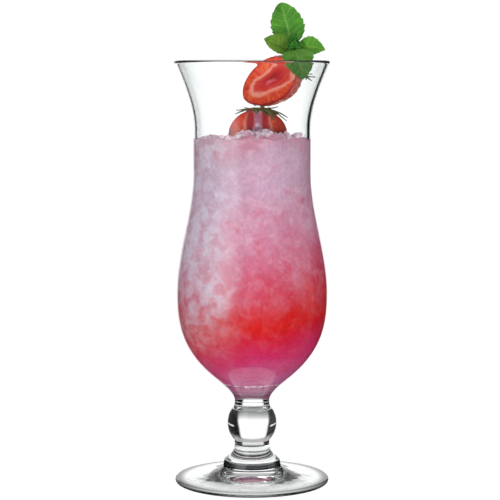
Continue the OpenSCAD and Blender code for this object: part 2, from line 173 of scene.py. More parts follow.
def bearing_span(tree, bearing, low, high, *ends):
    """A smooth span between two bearings that are given in degrees."""
    return smooth_span(tree, bearing, low / 180, high / 180, *ends)


def room_group():
    """How bright the room is in a direction. What is seen through solid glass far round to the side is pale
    again, and what is seen through both walls of the bowl is pale nearly all round, so that the glass looks
    clear from every side."""
    tree = bpy.data.node_groups.new("room_glow", "ShaderNodeTree")
    for label, kind in (("Direction", "Vector"), ("Side light", "Float"), ("Glass crossed", "Float")):
        tree.interface.new_socket(label, in_out="INPUT", socket_type="NodeSocket" + kind)
    tree.interface.new_socket("Brightness", in_out="OUTPUT", socket_type="NodeSocketFloat")
    given = add(tree, "NodeGroupInput").outputs
    bearing, aside, height = bearing_node(tree, given["Direction"])
    behind = times(tree, bearing_span(tree, bearing, -32, -24), bearing_span(tree, bearing, 18, 25, 1.2, 0))
    behind = times(tree, behind, smooth_span(tree, height, 0.26, 0.44, 1, 0.08))
    sides = bearing_span(tree, aside, 112, 150, 0, 0.2)
    for start, full, fading, end, brightness in PALE_WALLS:
        rise = bearing_span(tree, bearing, start, full)
        wall = times(tree, rise, bearing_span(tree, bearing, fading, end, 1, 0))
        sides = math_node(tree, "MULTIPLY_ADD", wall, brightness, sides)
    total = math_node(tree, "MULTIPLY_ADD", sides, given["Side light"], behind)
    total = math_node(tree, "ADD", total, smooth_span(tree, height, 0.25, 0.5, 0, 0.4))
    through_solid = math_node(tree, "GREATER_THAN", given["Glass crossed"], 0.5)
    beside = times(tree, through_solid, bearing_span(tree, aside, 64, 80, 0, 0.3))
    through_bowl = math_node(tree, "GREATER_THAN", given["Glass crossed"], 3.5)
    left = bearing_span(tree, bearing, -6, 2, 1, 0)
    far_right = bearing_span(tree, bearing, 36, 44)
    open_room = times(tree, through_bowl, math_node(tree, "MAXIMUM", left, far_right))
    total = math_node(tree, "MAXIMUM", total, math_node(tree, "MAXIMUM", beside, open_room))
    add(tree, "NodeGroupOutput", {0: total})
    return tree


room_glow = room_group()


def glass_crossed(tree):
    """How many glass surfaces a ray has gone through, if it has lit nothing dull on its way."""
    path = add(tree, "ShaderNodeLightPath").outputs
    return times(tree, math_node(tree, "LESS_THAN", path["Diffuse Depth"], 0.5), path["Transmission Depth"])


def room_brightness(tree, direction, side_light=1):
    return add(tree, "ShaderNodeGroup", {
        "Direction": direction, "Side light": side_light, "Glass crossed": glass_crossed(tree)
    }, node_tree=room_glow).outputs[0]


def build_room():
    world = bpy.data.worlds.new("room")
    world.use_nodes = True
    tree = world.node_tree
    tree.nodes.clear()
    direction = add(tree, "ShaderNodeTexCoord").outputs["Generated"]
    lit = add(tree, "ShaderNodeBackground", {"Color": grey(1), "Strength": room_brightness(tree, direction)})
    shown = add(tree, "ShaderNodeBackground", {"Color": grey(1), "Strength": BACKDROP})
    seen = add(tree, "ShaderNodeLightPath").outputs["Is Camera Ray"]
    choice = add(tree, "ShaderNodeMixShader", {0: seen, 1: lit.outputs[0], 2: shown.outputs[0]})
    add(tree, "ShaderNodeOutputWorld", {0: choice.outputs[0]})
    scene.world = world


build_room()
BOUNCES = 24
scene.view_settings.view_transform = "Standard"
scene.cycles.use_light_tree = False
scene.cycles.caustics_reflective = False
scene.cycles.caustics_refractive = False
scene.cycles.max_bounces = BOUNCES
scene.cycles.transmission_bounces = BOUNCES
scene.cycles.transparent_max_bounces = BOUNCES
print("room built, view transform", scene.view_settings.view_transform)

# %% [markdown]
# Five softboxes light the drink and the garnish: a key from the left, a fill from the right, one above, a
# low one in front and one behind. In glass each would show as a hard white square, so rays that are
# mirrored or bent by glass don't see them, and all that the glass mirrors is the room.

# %% Lights


def softbox(name, bearing, distance, height, size, brightness, aim=0.12):
    """An area light that looks at the glass. The bearing turns from the camera to the right, in degrees."""
    data = bpy.data.lights.new(name, "AREA")
    data.shape = "RECTANGLE"
    data.size, data.size_y = size
    data.energy = brightness * math.pi * size[0] * size[1]
    light = bpy.data.objects.new(name, data)
    angle = math.radians(bearing)
    light.location = (distance * math.sin(angle), -distance * math.cos(angle), height)
    toward = Vector((0, 0, aim)) - light.location
    light.rotation_euler = toward.to_track_quat("-Z", "Y").to_euler()
    light.visible_glossy = light.visible_transmission = False
    scene.collection.objects.link(light)


softbox("key_softbox", -62, 0.8, 0.16, (0.5, 0.9), 7.0)
softbox("fill_softbox", 66, 1.0, 0.18, (0.7, 0.9), 7.0)
softbox("top_softbox", 10, 0.25, 0.95, (0.6, 0.6), 1.6)
softbox("low_softbox", 0, 0.5, 0.03, (0.9, 0.14), 14.0, 0.08)
softbox("back_softbox", 176, 1.2, 0.3, (0.8, 0.8), 5.0)
print("five softboxes")

# %% [markdown]
# The glass stands on a white table. To the camera it is as white as the backdrop. What the glass shows of
# it is dark beside and white behind, as the room is, with light under the foot and a ring of shade round
# that. A white sheet lit by lamps could not be both, so the table glows, and the kind of ray says how
# brightly.

# %% Floor
TABLE_HALF = 6
UNDER_FOOT = 0.95
SHADE = 0.03
SHADE_RING = (31 * MM, 36 * MM)
SHADE_END = (41 * MM, 47 * MM)
FAR_TABLE = (0.42, 0.5)
FAR_GLOW = 0.9


def table_finish():
    material, tree, shader = new_finish("white_table")
    place = add(tree, "ShaderNodeTexCoord").outputs["Object"]
    distance = add(tree, "ShaderNodeVectorMath", {0: place}, operation="LENGTH").outputs["Value"]
    path = add(tree, "ShaderNodeLightPath").outputs
    room = room_brightness(tree, place, smooth_span(tree, distance, 0.12, 0.9, 0.1, 1))
    room = times(tree, room, smooth_span(tree, distance, 0.05, 0.14, 0.15, 1))
    ring = smooth_span(tree, distance, *SHADE_RING, UNDER_FOOT, SHADE)
    by_foot = smooth_span(tree, distance, *SHADE_END, 1, 0)
    glow = add(tree, "ShaderNodeMix", {"Factor": by_foot, "A": room, "B": ring}).outputs[0]
    one_wall = math_node(tree, "COMPARE", glass_crossed(tree), 2, 1.5)
    unmirrored = math_node(tree, "LESS_THAN", path["Glossy Depth"], 0.5)
    far_off = smooth_span(tree, distance, *FAR_TABLE, 0, FAR_GLOW)
    far_off = times(tree, times(tree, one_wall, unmirrored), far_off)
    far_off = times(tree, far_off, bearing_span(tree, bearing_node(tree, place)[1], 33, 39))
    glow = math_node(tree, "MAXIMUM", glow, far_off)
    strength = add(tree, "ShaderNodeMix", {"Factor": path["Is Camera Ray"], "A": glow, "B": BACKDROP})
    feed(tree, shader, {
        "Base Color": grey(0.004), "Roughness": 0.9, "Specular IOR Level": 0, "Emission Color": grey(1),
        "Emission Strength": strength.outputs[0],
    })
    return material


def build_floor():
    mesh = bpy.data.meshes.new("floor")
    corners = [(x * TABLE_HALF, y * TABLE_HALF, 0) for x, y in ((-1, -1), (1, -1), (1, 1), (-1, 1))]
    mesh.from_pydata(corners, [], [(0, 1, 2, 3)])
    mesh.materials.append(table_finish())
    floor = bpy.data.objects.new("floor", mesh)
    scene.collection.objects.link(floor)


build_floor()
print("floor laid")

# %% [markdown]
# A finished piece sits at the origin with its place in its mesh, so one function that takes points, faces
# and materials makes every piece. Blown and turned glass is round, and a lathe is the way to draw it: an
# outline is spun round the axis. Rows of points that follow each other are closed into bands of faces.

# %% Pieces and spun outlines
SEGMENTS = 160


def piece(name, points, faces, materials):
    mesh = bpy.data.meshes.new(name)
    mesh.from_pydata([tuple(p) for p in points], [], faces)
    for material in materials:
        mesh.materials.append(material)
    mesh.shade_smooth()
    made = bpy.data.objects.new(name, mesh)
    scene.collection.objects.link(made)
    return made


def point_outward(thing, merge=1e-7):
    """Turns every face of a closed mesh outwards, after points closer than the merge distance are joined."""
    shape = bmesh.new()
    shape.from_mesh(thing.data)
    if merge:
        bmesh.ops.remove_doubles(shape, verts=shape.verts, dist=merge)
    bmesh.ops.recalc_face_normals(shape, faces=shape.faces)
    shape.to_mesh(thing.data)
    shape.free()


def crease(thing, degrees):
    """Shades a piece smooth, but sharp where its faces meet at more than an angle."""
    thing.data.shade_smooth()
    thing.data.set_sharp_from_angle(angle=math.radians(degrees))


def settle(thing, body, slot, *nodes):
    """Hands a finished piece to its body and hides the CAD nodes that it stands for. The slot is not used."""
    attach(thing, body)
    if nodes:
        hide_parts(*nodes)
    print(thing.name, len(thing.data.polygons), "faces on", body)


def band_faces(rows, columns, closed=True, start=0):
    """Faces between rows of points. A closed row joins its last point to its first."""
    faces = []
    for i in range(rows - 1):
        for j in range(columns if closed else columns - 1):
            a = start + i * columns + j
            b = start + i * columns + (j + 1) % columns
            faces.append((a, b, b + columns, a + columns))
    return faces


def spin(name, outline, materials, by_span=None, sharp=35):
    """Spins an outline of (radius, height) that starts and ends on the axis. The dictionary gives the
    material of each span of the outline that doesn't have the first one."""
    points, rings = [], []
    for radius, height in outline:
        if radius < 1e-9:
            rings.append([len(points)] * SEGMENTS)
            points.append((0, 0, height))
        else:
            rings.append(list(range(len(points), len(points) + SEGMENTS)))
            for k in range(SEGMENTS):
                a = 2 * math.pi * k / SEGMENTS
                points.append((radius * math.cos(a), radius * math.sin(a), height))
    faces, numbers = [], []
    for span, (low, high) in enumerate(zip(rings, rings[1:])):
        for k in range(SEGMENTS):
            n = (k + 1) % SEGMENTS
            faces.append(tuple(dict.fromkeys((low[k], low[n], high[n], high[k]))))
        finish = (by_span or {}).get(span, materials[0])
        numbers += [materials.index(finish)] * SEGMENTS
    made = piece(name, points, faces, materials)
    made.data.polygons.foreach_set("material_index", numbers)
    point_outward(made)
    crease(made, sharp)
    return made


# %% [markdown]
# The bowl's outline is one smooth curve through five knots: the turn above the stem, the bulb, the two ends
# of the straight waist and the start of the lip. Each knot has a radius, a height and a slope, as in the
# CAD source, and the wall's inside is the same line moved inwards.

# %% Outline of the bowl
bowl_low, bowl_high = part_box("bowl")
BOWL_Z = bowl_low.z
BOWL_H = bowl_high.z - bowl_low.z
RIM_R = bowl_high.x
NECK_R = 8.55 * MM
WALL = 1.8 * MM
BASE_T = 5.2 * MM
FLOOR_STEPS = 28
LIP_STEPS = 14
ROOT_SLOPE, RIM_SLOPE, NECK_SLOPE = 1.1, 0.4, 0.2
ROOT = (20.9 * MM, 13.1 * MM, ROOT_SLOPE)
BULB = (36.8 * MM, 52.6 * MM, 0)
WAIST_LOW = (28.6 * MM, 111.3 * MM, 0)
WAIST_TOP = (28.6 * MM, 132.3 * MM, 0)
LIP_R = WALL / 2
RIM_ANGLE = math.atan(RIM_SLOPE)
LIP = (RIM_R - LIP_R * (1 - math.cos(RIM_ANGLE)), BOWL_H - LIP_R * (1 + math.sin(RIM_ANGLE)), RIM_SLOPE)


def knot_curve(a, b, steps):
    """Points from knot a up to knot b, without b, on a curve that meets both slopes."""
    rise = b[1] - a[1]
    line = []
    for i in range(steps):
        t = i / steps
        radius = a[0] * (1 + 2 * t) * (1 - t) ** 2 + b[0] * t * t * (3 - 2 * t)
        radius += rise * (a[2] * t * (1 - t) ** 2 - b[2] * t * t * (1 - t))
        line.append((radius, a[1] + rise * t))
    return line


def bezier(handles, t):
    a, b, c, d = (np.array(h, float) for h in handles)
    return (1 - t) ** 3 * a + 3 * t * (1 - t) ** 2 * b + 3 * t * t * (1 - t) * c + t ** 3 * d


def unit(v):
    v = np.array(v, float)
    return v / np.linalg.norm(v)


outer_side = (
    knot_curve(ROOT, BULB, 40) + knot_curve(BULB, WAIST_LOW, 36)
    + knot_curve(WAIST_LOW, WAIST_TOP, 8) + knot_curve(WAIST_TOP, LIP, 30) + [LIP[:2]]
)


def inner_side(inset):
    """The inside of the bowl from the middle of its floor up to the lip, inset from the outside."""
    side = []
    for i, (radius, height) in enumerate(outer_side):
        if i == 0:
            along = (ROOT_SLOPE, 1)
        elif i == len(outer_side) - 1:
            along = (RIM_SLOPE, 1)
        else:
            along = np.subtract(outer_side[i + 1], outer_side[i - 1])
        side.append(np.array((radius, height)) + inset * unit((-along[1], along[0])))
    start = side[0]
    floor_h = BASE_T + inset - WALL
    rise = start[1] - floor_h
    handles = [(0, floor_h), (start[0] * 0.42, floor_h), start - rise * unit((ROOT_SLOPE, 1)) * 0.8, start]
    floor = [bezier(handles, i / FLOOR_STEPS) for i in range(FLOOR_STEPS)]
    return [tuple(p) for p in floor + side]


def lifted(outline):
    """An outline of the bowl, raised from its own zero to where the bowl stands."""
    return [(max(0, r), z + BOWL_Z) for r, z in outline]


lip_middle = np.array(LIP[:2]) + LIP_R * unit((-1, RIM_SLOPE))
lip = [
    tuple(lip_middle + LIP_R * np.array((math.cos(a), math.sin(a))))
    for a in (math.pi * i / LIP_STEPS - RIM_ANGLE for i in range(1, LIP_STEPS))
]
print("bowl", round(BOWL_H / MM, 1), "mm high, outline of", len(outer_side), "points")

# %% [markdown]
# Clear glass is one Principled shader with full transmission. Lamps would not reach the drink through it
# without slow caustics, so for shadow rays the glass steps aside. Where bowl, stem and foot were fused
# while hot there is no surface, so the touching faces have a finish that is wholly see-through. The spans at
# the lip, at the collar's creases and at the foot's edge have a dark tint. It is painted shade that draws the
# dark edge lines, far darker than the long path of light inside the glass there would make them.

# %% Glass finish


def colour(red, green, blue):
    """A colour given in 0 to 255, as the linear values that shaders want."""
    shares = (red / 255, green / 255, blue / 255)
    return tuple(((s + 0.055) / 1.055) ** 2.4 if s > 0.04045 else s / 12.92 for s in shares)


def object_place(tree, scale=(1, 1, 1)):
    place = add(tree, "ShaderNodeTexCoord").outputs["Object"]
    return add(tree, "ShaderNodeMapping", {"Vector": place, "Scale": scale}).outputs[0]


def noise_node(tree, place, scale, detail=3.0, roughness=0.5, distortion=0.0):
    return add(tree, "ShaderNodeTexNoise", {
        "Vector": place, "Scale": scale, "Detail": detail, "Roughness": roughness, "Distortion": distortion
    }).outputs[0]


def mix_colours(tree, factor, first, second, blend="MIX"):
    inputs = {"Factor": factor, "A": first, "B": second}
    return add(tree, "ShaderNodeMix", inputs, data_type="RGBA", blend_type=blend).outputs[2]


def bump_node(tree, height, strength, distance):
    inputs = {"Height": height, "Strength": strength, "Distance": distance}
    return add(tree, "ShaderNodeBump", inputs).outputs[0]


def glass_finish(name, waves, smoothest, roughest, tint=colour(252, 254, 254)):
    """Glass with low waves in its surface and a smear here and there."""
    material, tree, shader = new_finish(name)
    wave = noise_node(tree, object_place(tree, (1, 1, 0.35)), 60, 2)
    smear = noise_node(tree, object_place(tree), 220, 3)
    feed(tree, shader, {
        "Base Color": tint, "Transmission Weight": 1, "IOR": 1.5,
        "Roughness": span_node(tree, smear, 0.4, 0.8, smoothest, roughest),
        "Normal": bump_node(tree, wave, waves, 0.3 * MM),
    })
    clear = add(tree, "ShaderNodeBsdfTransparent")
    shadow = add(tree, "ShaderNodeLightPath").outputs["Is Shadow Ray"]
    choice = add(tree, "ShaderNodeMixShader", {0: shadow, 1: shader.outputs[0], 2: clear.outputs[0]})
    feed(tree, tree.nodes["Material Output"], {"Surface": choice.outputs[0]})
    return material


def fused_finish():
    material, tree, shader = new_finish("fused_joint")
    feed(tree, shader, {"Alpha": 0, "Roughness": 0})
    return material


clear_glass = glass_finish("clear_glass", 0.12, 0.0, 0.03)
rough_glass = glass_finish("pressed_underside", 0.9, 0.06, 0.2)
# Painted shade: a dark tint that draws the dark edge lines of the glass.
painted_dark_edge_glass = glass_finish("painted_dark_edge", 0.12, 0.0, 0.03, colour(70, 74, 76))
fused_joint = fused_finish()
print("glass finishes:", clear_glass.name, rough_glass.name, painted_dark_edge_glass.name, fused_joint.name)

# %% [markdown]
# The bowl is blown as one wall, open at the top, with solid glass under its floor. A solid of the outside
# less one of the inside could make it, but one closed outline gives a wall with no seam: up the outside,
# round the lip and down the inside. Its lowest span is fused to the stem, and the top of the lip has the
# painted dark tint of an edge.

# %% Bowl
LIP_TOP = range(4, 11)
bowl_inside = inner_side(WALL)[::-1]
bowl_outline = lifted(
    [(0, 0)] + knot_curve((NECK_R, 0, NECK_SLOPE), ROOT, 16) + outer_side + lip + bowl_inside
)
lip_start = len(bowl_outline) - len(bowl_inside) - len(lip)
# The top of the lip takes the painted dark edge tint.
bowl_finishes = {0: fused_joint, **{lip_start + k: painted_dark_edge_glass for k in LIP_TOP}}
glass_bowl = spin("glass_bowl", bowl_outline, [clear_glass, fused_joint, painted_dark_edge_glass], bowl_finishes)
settle(glass_bowl, "glass", "clear_glass", "bowl")

# %% [markdown]
# The stem is pressed glass: a collar, a groove, a flare, a thin neck, a round knop, a ring and a plain
# neck. Its edges are softly rounded, because sharp ones melt away while the glass is hot. The outline is
# drawn with sharp corners, which are easy to measure, and each is then cut and replaced with a small curve.

# %% Stem
stem_low, stem_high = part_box("stem")
COLLAR_R = stem_high.x
COLLAR_H = 3 * MM
GROOVE_H = 0.9 * MM
GROOVE_DEPTH = 1.2 * MM
FLARE_H = 5.1 * MM
FLARE_STEPS = 20
FLARE_CURVE = 1.6
KNOP_R = 12.1 * MM
KNOP_TOP_R = 9.8 * MM
KNOP_STEPS = 56
LOW_NECK_H = 3.5 * MM
RING_R = 8.95 * MM
RING_H = 1.7 * MM
MELTED_EDGE = 0.35 * MM


def rounded(outline, radius, steps=5):
    """Cuts each corner of an outline and lays a small curve in its place."""
    line = [np.array(outline[0], float)]
    for before, corner, after in zip(outline, outline[1:], outline[2:]):
        before, corner, after = (np.array(p, float) for p in (before, corner, after))
        reach = min(radius, np.linalg.norm(before - corner) / 2, np.linalg.norm(after - corner) / 2)
        a = corner + reach * unit(before - corner)
        b = corner + reach * unit(after - corner)
        for i in range(steps + 1):
            t = i / steps
            line.append((1 - t) ** 2 * a + 2 * t * (1 - t) * corner + t * t * b)
    line.append(np.array(outline[-1], float))
    return [tuple(p) for p in line]


def stem_outline():
    low = stem_low.z
    collar_top_r = COLLAR_R - GROOVE_DEPTH / 2
    flare_r = collar_top_r - GROOVE_DEPTH
    flare_z = low + COLLAR_H + GROOVE_H
    knop_z = flare_z + FLARE_H + LOW_NECK_H + math.sqrt(KNOP_R ** 2 - NECK_R ** 2)
    ring_z = knop_z + math.sqrt(KNOP_R ** 2 - KNOP_TOP_R ** 2)
    flare = []
    for i in range(FLARE_STEPS + 1):
        narrowed = (flare_r - NECK_R) * (1 - i / FLARE_STEPS) ** FLARE_CURVE
        flare.append((NECK_R + narrowed, flare_z + FLARE_H * i / FLARE_STEPS))
    first, last = -math.acos(NECK_R / KNOP_R), math.acos(KNOP_TOP_R / KNOP_R)
    knop = [
        (KNOP_R * math.cos(a), knop_z + KNOP_R * math.sin(a))
        for a in (first + (last - first) * i / KNOP_STEPS for i in range(KNOP_STEPS + 1))
    ]
    collar = [(COLLAR_R, low), (collar_top_r, low + COLLAR_H)]
    ring_top = ring_z + RING_H
    ring = [(RING_R, ring_z), (RING_R, ring_top), (NECK_R, ring_top + GROOVE_H / 3), (NECK_R, stem_high.z)]
    return [(0, low)] + rounded(collar + flare + knop + ring, MELTED_EDGE) + [(0, stem_high.z)]


def crease_spans(outline, top, turn=12):
    """Spans of an outline, up to a height, where it turns by more than some degrees."""
    spans = []
    for k in range(1, len(outline) - 2):
        before, along = (np.subtract(outline[k + i], outline[k + i - 1]) for i in (0, 1))
        if outline[k][1] < top and float(unit(before) @ unit(along)) < math.cos(math.radians(turn)):
            spans.append(k)
    return spans


stem_line = stem_outline()
creases = crease_spans(stem_line, stem_low.z + COLLAR_H + 2 * GROOVE_H)
# The collar's creases take the painted dark edge tint.
stem_finishes = {**dict.fromkeys(creases, painted_dark_edge_glass), 0: fused_joint, len(stem_line) - 2: fused_joint}
glass_stem = spin("glass_stem", stem_line, [clear_glass, fused_joint, painted_dark_edge_glass], stem_finishes)
print("creases round the collar:", len(creases), "spans")
settle(glass_stem, "glass", "clear_glass", "stem")

# %% [markdown]
# The foot is a shallow dished disc, pressed or spun flat while hot. It rests on a narrow flat ring with a
# hollow inside that, whose surface is rougher, because the mould touched it. A half circle makes the edge,
# one curve the dish and a quarter of a sine the hollow, so every height stays a named size.

# %% Foot
foot_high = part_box("foot")[1]
FOOT_R = foot_high.x
FOOT_H = foot_high.z
FOOT_EDGE = 2.4 * MM
EDGE_STEPS = 14
DISH_STEPS = 30
HOLLOW_H = 2.2 * MM
HOLLOW_STEPS = 24
REST_RING = 4.4 * MM
# Spans round the foot's edge that take the painted dark edge tint.
PAINTED_DARK_EDGE = range(0, 9)


def foot_top():
    """The outline from the resting ring round the edge and up the dish to the axis."""
    edge_r = FOOT_EDGE / 2
    edge_x = FOOT_R - edge_r
    rise = FOOT_H - FOOT_EDGE
    angles = [math.pi * i / EDGE_STEPS for i in range(EDGE_STEPS + 1)]
    edge = [(edge_x + edge_r * math.sin(a), edge_r - edge_r * math.cos(a)) for a in angles]
    handles = [
        (edge_x, FOOT_EDGE), (2 * FOOT_R * 0.3, FOOT_EDGE + rise * 0.2),
        (2 * FOOT_R * 0.22, FOOT_EDGE + rise * 0.45), (COLLAR_R, FOOT_H),
    ]
    dish = [tuple(bezier(handles, i / DISH_STEPS)) for i in range(1, DISH_STEPS + 1)]
    return edge + dish + [(0, FOOT_H)]


def foot_hollow():
    ring_in = FOOT_R - FOOT_EDGE / 2 - REST_RING
    shares = [i / HOLLOW_STEPS for i in range(HOLLOW_STEPS + 1)]
    return [(ring_in * s, HOLLOW_H * math.sin(math.pi / 2 * (1 - s))) for s in shares]


hollow_line = foot_hollow()
foot_line = hollow_line + foot_top()
foot_finishes = {k: rough_glass for k, p in enumerate(hollow_line) if p[0] > COLLAR_R}
foot_finishes.update({len(hollow_line) + k: painted_dark_edge_glass for k in PAINTED_DARK_EDGE})
foot_finishes[len(foot_line) - 2] = fused_joint
foot_glasses = [clear_glass, fused_joint, rough_glass, painted_dark_edge_glass]
glass_foot = spin("glass_foot", foot_line, foot_glasses, foot_finishes, sharp=40)
settle(glass_foot, "glass", "clear_glass", "foot")

# %% [markdown]
# The drink is poured in layers that bleed into each other: magenta syrup, a red layer and pale slush. Three
# flat colours would show their borders, so one finish covers all of it: a ramp up the height, bent by a
# swirl, with clouds, lumps and juice over it. A pale band on the left is partly frost and partly
# painted highlight from the light at the front left. Crushed ice lets light through in every direction, and
# a faint glow of its own stands for that.

# %% Drink finish
WET = 0.15 * MM
SLUSH_GLOW = 0.28
syrup_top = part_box("syrup_layer")[1].z
red_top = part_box("red_layer")[1].z
surface_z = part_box("ice_slush")[1].z
floor_z = BOWL_Z + BASE_T


def layer_colours(tree, share):
    """The colour of the drink by its share of the height, from the bowl's floor to the surface. The pale
    lilac
    at the floor is painted light: light from behind shining through the thin syrup.
    """
    return ramp_node(tree, share, [
        (0.00, colour(186, 120, 156)), (0.06, colour(194, 92, 140)), (0.14, colour(204, 52, 104)),
        (0.21, colour(208, 36, 64)), (0.27, colour(212, 30, 28)), (0.34, colour(208, 38, 42)),
        (0.44, colour(204, 74, 98)), (0.56, colour(202, 112, 140)), (0.70, colour(200, 136, 162)),
        (0.82, colour(194, 152, 176)), (0.93, colour(190, 150, 172)), (1.00, colour(190, 126, 146)),
    ], "LINEAR")


def frost_and_highlight_share(tree, across, level, clouds, lumps):
    """How much frost and painted highlight lies on the drink: a frayed band on the left that is faint low
    down.
    """
    frayed = math_node(tree, "MULTIPLY_ADD", clouds, 40 * MM, math_node(tree, "ADD", across, -20 * MM))
    from_left = smooth_span(tree, frayed, -44 * MM, -22 * MM, 0.2, 1)
    frost_and_highlight = times(tree, from_left, smooth_span(tree, frayed, -22 * MM, -2 * MM, 1, 0))
    frost_and_highlight = times(tree, frost_and_highlight, smooth_span(tree, level, floor_z + 18 * MM, floor_z + 62 * MM, 0.06, 0.8))
    return times(tree, frost_and_highlight, smooth_span(tree, lumps, 0.34, 0.6, 0.45, 1))


def drink_finish():
    material, tree, shader = new_finish("layered_drink")
    place = add(tree, "ShaderNodeTexCoord").outputs["Object"]
    parts = add(tree, "ShaderNodeSeparateXYZ", {0: place}).outputs
    swirl = noise_node(tree, place, 38, 4, 0.55, 0.6)
    bent = math_node(tree, "MULTIPLY_ADD", swirl, 22 * MM, -11 * MM)
    slant = math_node(tree, "MULTIPLY_ADD", parts["X"], -0.2, parts["Z"])
    level = math_node(tree, "ADD", slant, bent)
    share = span_node(tree, level, floor_z, surface_z)
    body = layer_colours(tree, share)
    clouds = noise_node(tree, object_place(tree, (1, 1, 0.8)), 60, 5, 0.6, 0.3)
    lumps = noise_node(tree, object_place(tree, (1, 1, 1.2)), 170, 3, 0.5, 0.35)
    crystals = noise_node(tree, object_place(tree), 640, 3, 0.6)
    juice = noise_node(tree, object_place(tree), 84, 4, 0.6, 0.4)
    zone = ramp_node(tree, share, [
        (0.0, grey(0.03)), (0.2, grey(0.06)), (0.32, grey(0.10)), (0.45, grey(0.3)), (0.7, grey(0.55)),
        (1.0, grey(0.5)),
    ], "LINEAR")
    mist = times(tree, smooth_span(tree, clouds, 0.42, 0.70), zone)
    paled = mix_colours(tree, times(tree, mist, 0.75), body, colour(212, 184, 206))
    icy = times(tree, smooth_span(tree, lumps, 0.46, 0.74), zone)
    flaked = mix_colours(tree, times(tree, icy, 0.6), paled, colour(220, 192, 210))
    blotch = times(tree, smooth_span(tree, juice, 0.53, 0.74), smooth_span(tree, share, 0.3, 0.95, 0.7, 0.45))
    stained = mix_colours(tree, blotch, flaked, colour(206, 66, 88))
    # A pale band on the left, partly frost and partly painted highlight from the front-left light.
    frost_and_highlight = frost_and_highlight_share(tree, parts["X"], level, clouds, lumps)
    frosted_and_lit = mix_colours(tree, frost_and_highlight, stained, colour(220, 210, 226))
    sparkle = smooth_span(tree, crystals, 0.35, 0.7, 0.93, 1.08)
    final = mix_colours(tree, 1.0, frosted_and_lit, sparkle, "MULTIPLY")
    feed(tree, shader, {
        "Base Color": final, "Emission Color": final, "Emission Strength": SLUSH_GLOW,
        "Roughness": span_node(tree, lumps, 0.3, 0.8, 0.55, 0.35), "Specular IOR Level": 0.1,
        "Normal": bump_node(tree, lumps, 0.25, 0.6 * MM),
    })
    return material


layered_drink = drink_finish()
print("drink from", round(floor_z / MM, 1), "to", round(surface_z / MM, 1), "mm")

# %% [markdown]
# Each layer takes its side from the bowl's inside, so it fits at every height. The drink wets the wall, so
# its mesh reaches a hair into the glass. Without that, light would bounce inside the wall and the colour
# would stop short of the outline. The slush is heaped: its flat top is drawn in many rings, and each point
# of it is lifted by noise, which makes lumps without a second piece.

# %% Drink
HEAP_WIDE, HEAP_DEEP = 16 * MM, 8 * MM
DEEPEST_DIP = 0.8 * MM
FLAT_RINGS, HEAPED_RINGS = 24, 60
lower_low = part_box("lower_berry")[0]
HEAP = (lower_low.x + 15 * MM, lower_low.y - 4 * MM)


def radius_at(line, height):
    for (r0, z0), (r1, z1) in zip(line, line[1:]):
        if z0 <= height <= z1 and z1 > z0:
            return r0 + (r1 - r0) * (height - z0) / (z1 - z0)
    return line[-1][0]


def drink_outline(low, high, rings):
    """The wall of the drink between two heights, with flat ends drawn in rings. The lowest layer ends on the
    floor of the bowl instead."""
    wet_side = lifted(inner_side(WALL - WET))
    wall = [p for p in wet_side if low < p[1] < high]
    if low <= floor_z:
        line = [(0, wet_side[0][1])] + wall[1:]
    else:
        low_r = radius_at(wet_side, low)
        line = [(low_r * i / rings, low) for i in range(rings + 1)] + wall
    high_r = radius_at(wet_side, high)
    return line + [(high_r * i / rings, high) for i in range(rings, -1, -1)]


def heap(x, y):
    """How far the slush stands over its level: lumps all over, and a heap against the lower strawberry."""
    spot = Vector((x, y, 0))
    lumps = 1.3 * noise.noise(spot * 170) + 0.8 * noise.noise(spot * 420)
    pile = math.exp(-((x - HEAP[0]) / HEAP_WIDE) ** 2 - ((y - HEAP[1]) / HEAP_DEEP) ** 2)
    return (0.5 + lumps + (2.6 + 1.2 * noise.noise(spot * 260)) * pile) * MM


def drink_layer(name, low, high, node, slot, heaped=False):
    outline = drink_outline(low, high, HEAPED_RINGS if heaped else FLAT_RINGS)
    layer = spin(name, outline, [layered_drink], sharp=50)
    if heaped:
        for point in layer.data.vertices:
            if point.co.z > high - 1e-6:
                point.co.z += max(-DEEPEST_DIP, heap(point.co.x, point.co.y))
    settle(layer, "glass", slot, node)


drink_layer("drink_syrup", floor_z, syrup_top, "syrup_layer", "syrup")
drink_layer("drink_red", syrup_top, red_top, "red_layer", "red_drink")
drink_layer("drink_slush", red_top, surface_z, "ice_slush", "pale_slush", heaped=True)

# %% [markdown]
# A strawberry is a rounded cone. Sliced lengthways it shows a smooth red skin behind and wet flesh in
# front, with a pale band that follows the outline round a darker core. The skin is a grid of rings, and the
# cut face is a polar net from the core out to the skin, so grooves and colours can run outwards as the
# fibres do.

# %% Shape of a strawberry half
BERRY_WIDE = 0.6
BERRY_BLUNT = 0.62
EDGE = 0.4 * MM
GOLDEN_ANGLE = 137.508
SKIN_RINGS = 76
SKIN_COLUMNS = 84
NET_RINGS = 30
SEED_DEPTH = 0.30 * MM
TIPWARD = Vector((0, 0, -1))


def berry_share(u):
    """Radius as a share of the widest, at a share u of the way from the tip to the crown."""
    if u < BERRY_WIDE:
        return (1 - (1 - u / BERRY_WIDE) ** 2) ** BERRY_BLUNT
    return math.sqrt(max(0, 1 - ((u - BERRY_WIDE) / (1 - BERRY_WIDE)) ** 2))


def crossing(low, high, radius, goal):
    """The share at which the radius passes the goal, between two shares."""
    rising = radius * berry_share(high) > goal
    for _ in range(40):
        middle = (low + high) / 2
        if (radius * berry_share(middle) > goal) == rising:
            high = middle
        else:
            low = middle
    return (low + high) / 2


def berry_rings(radius, goal):
    """The rings of the skin as shares of the length, with the first and the last that the slice reaches."""
    rings = [(1 - math.cos(math.pi * i / SKIN_RINGS)) / 2 for i in range(SKIN_RINGS + 1)]
    if goal <= 0:
        return rings, 0, SKIN_RINGS
    first = crossing(0, BERRY_WIDE, radius, goal)
    last = crossing(BERRY_WIDE, 1, radius, goal)
    rings = sorted(rings + [first, last])
    return rings, rings.index(first), rings.index(last)


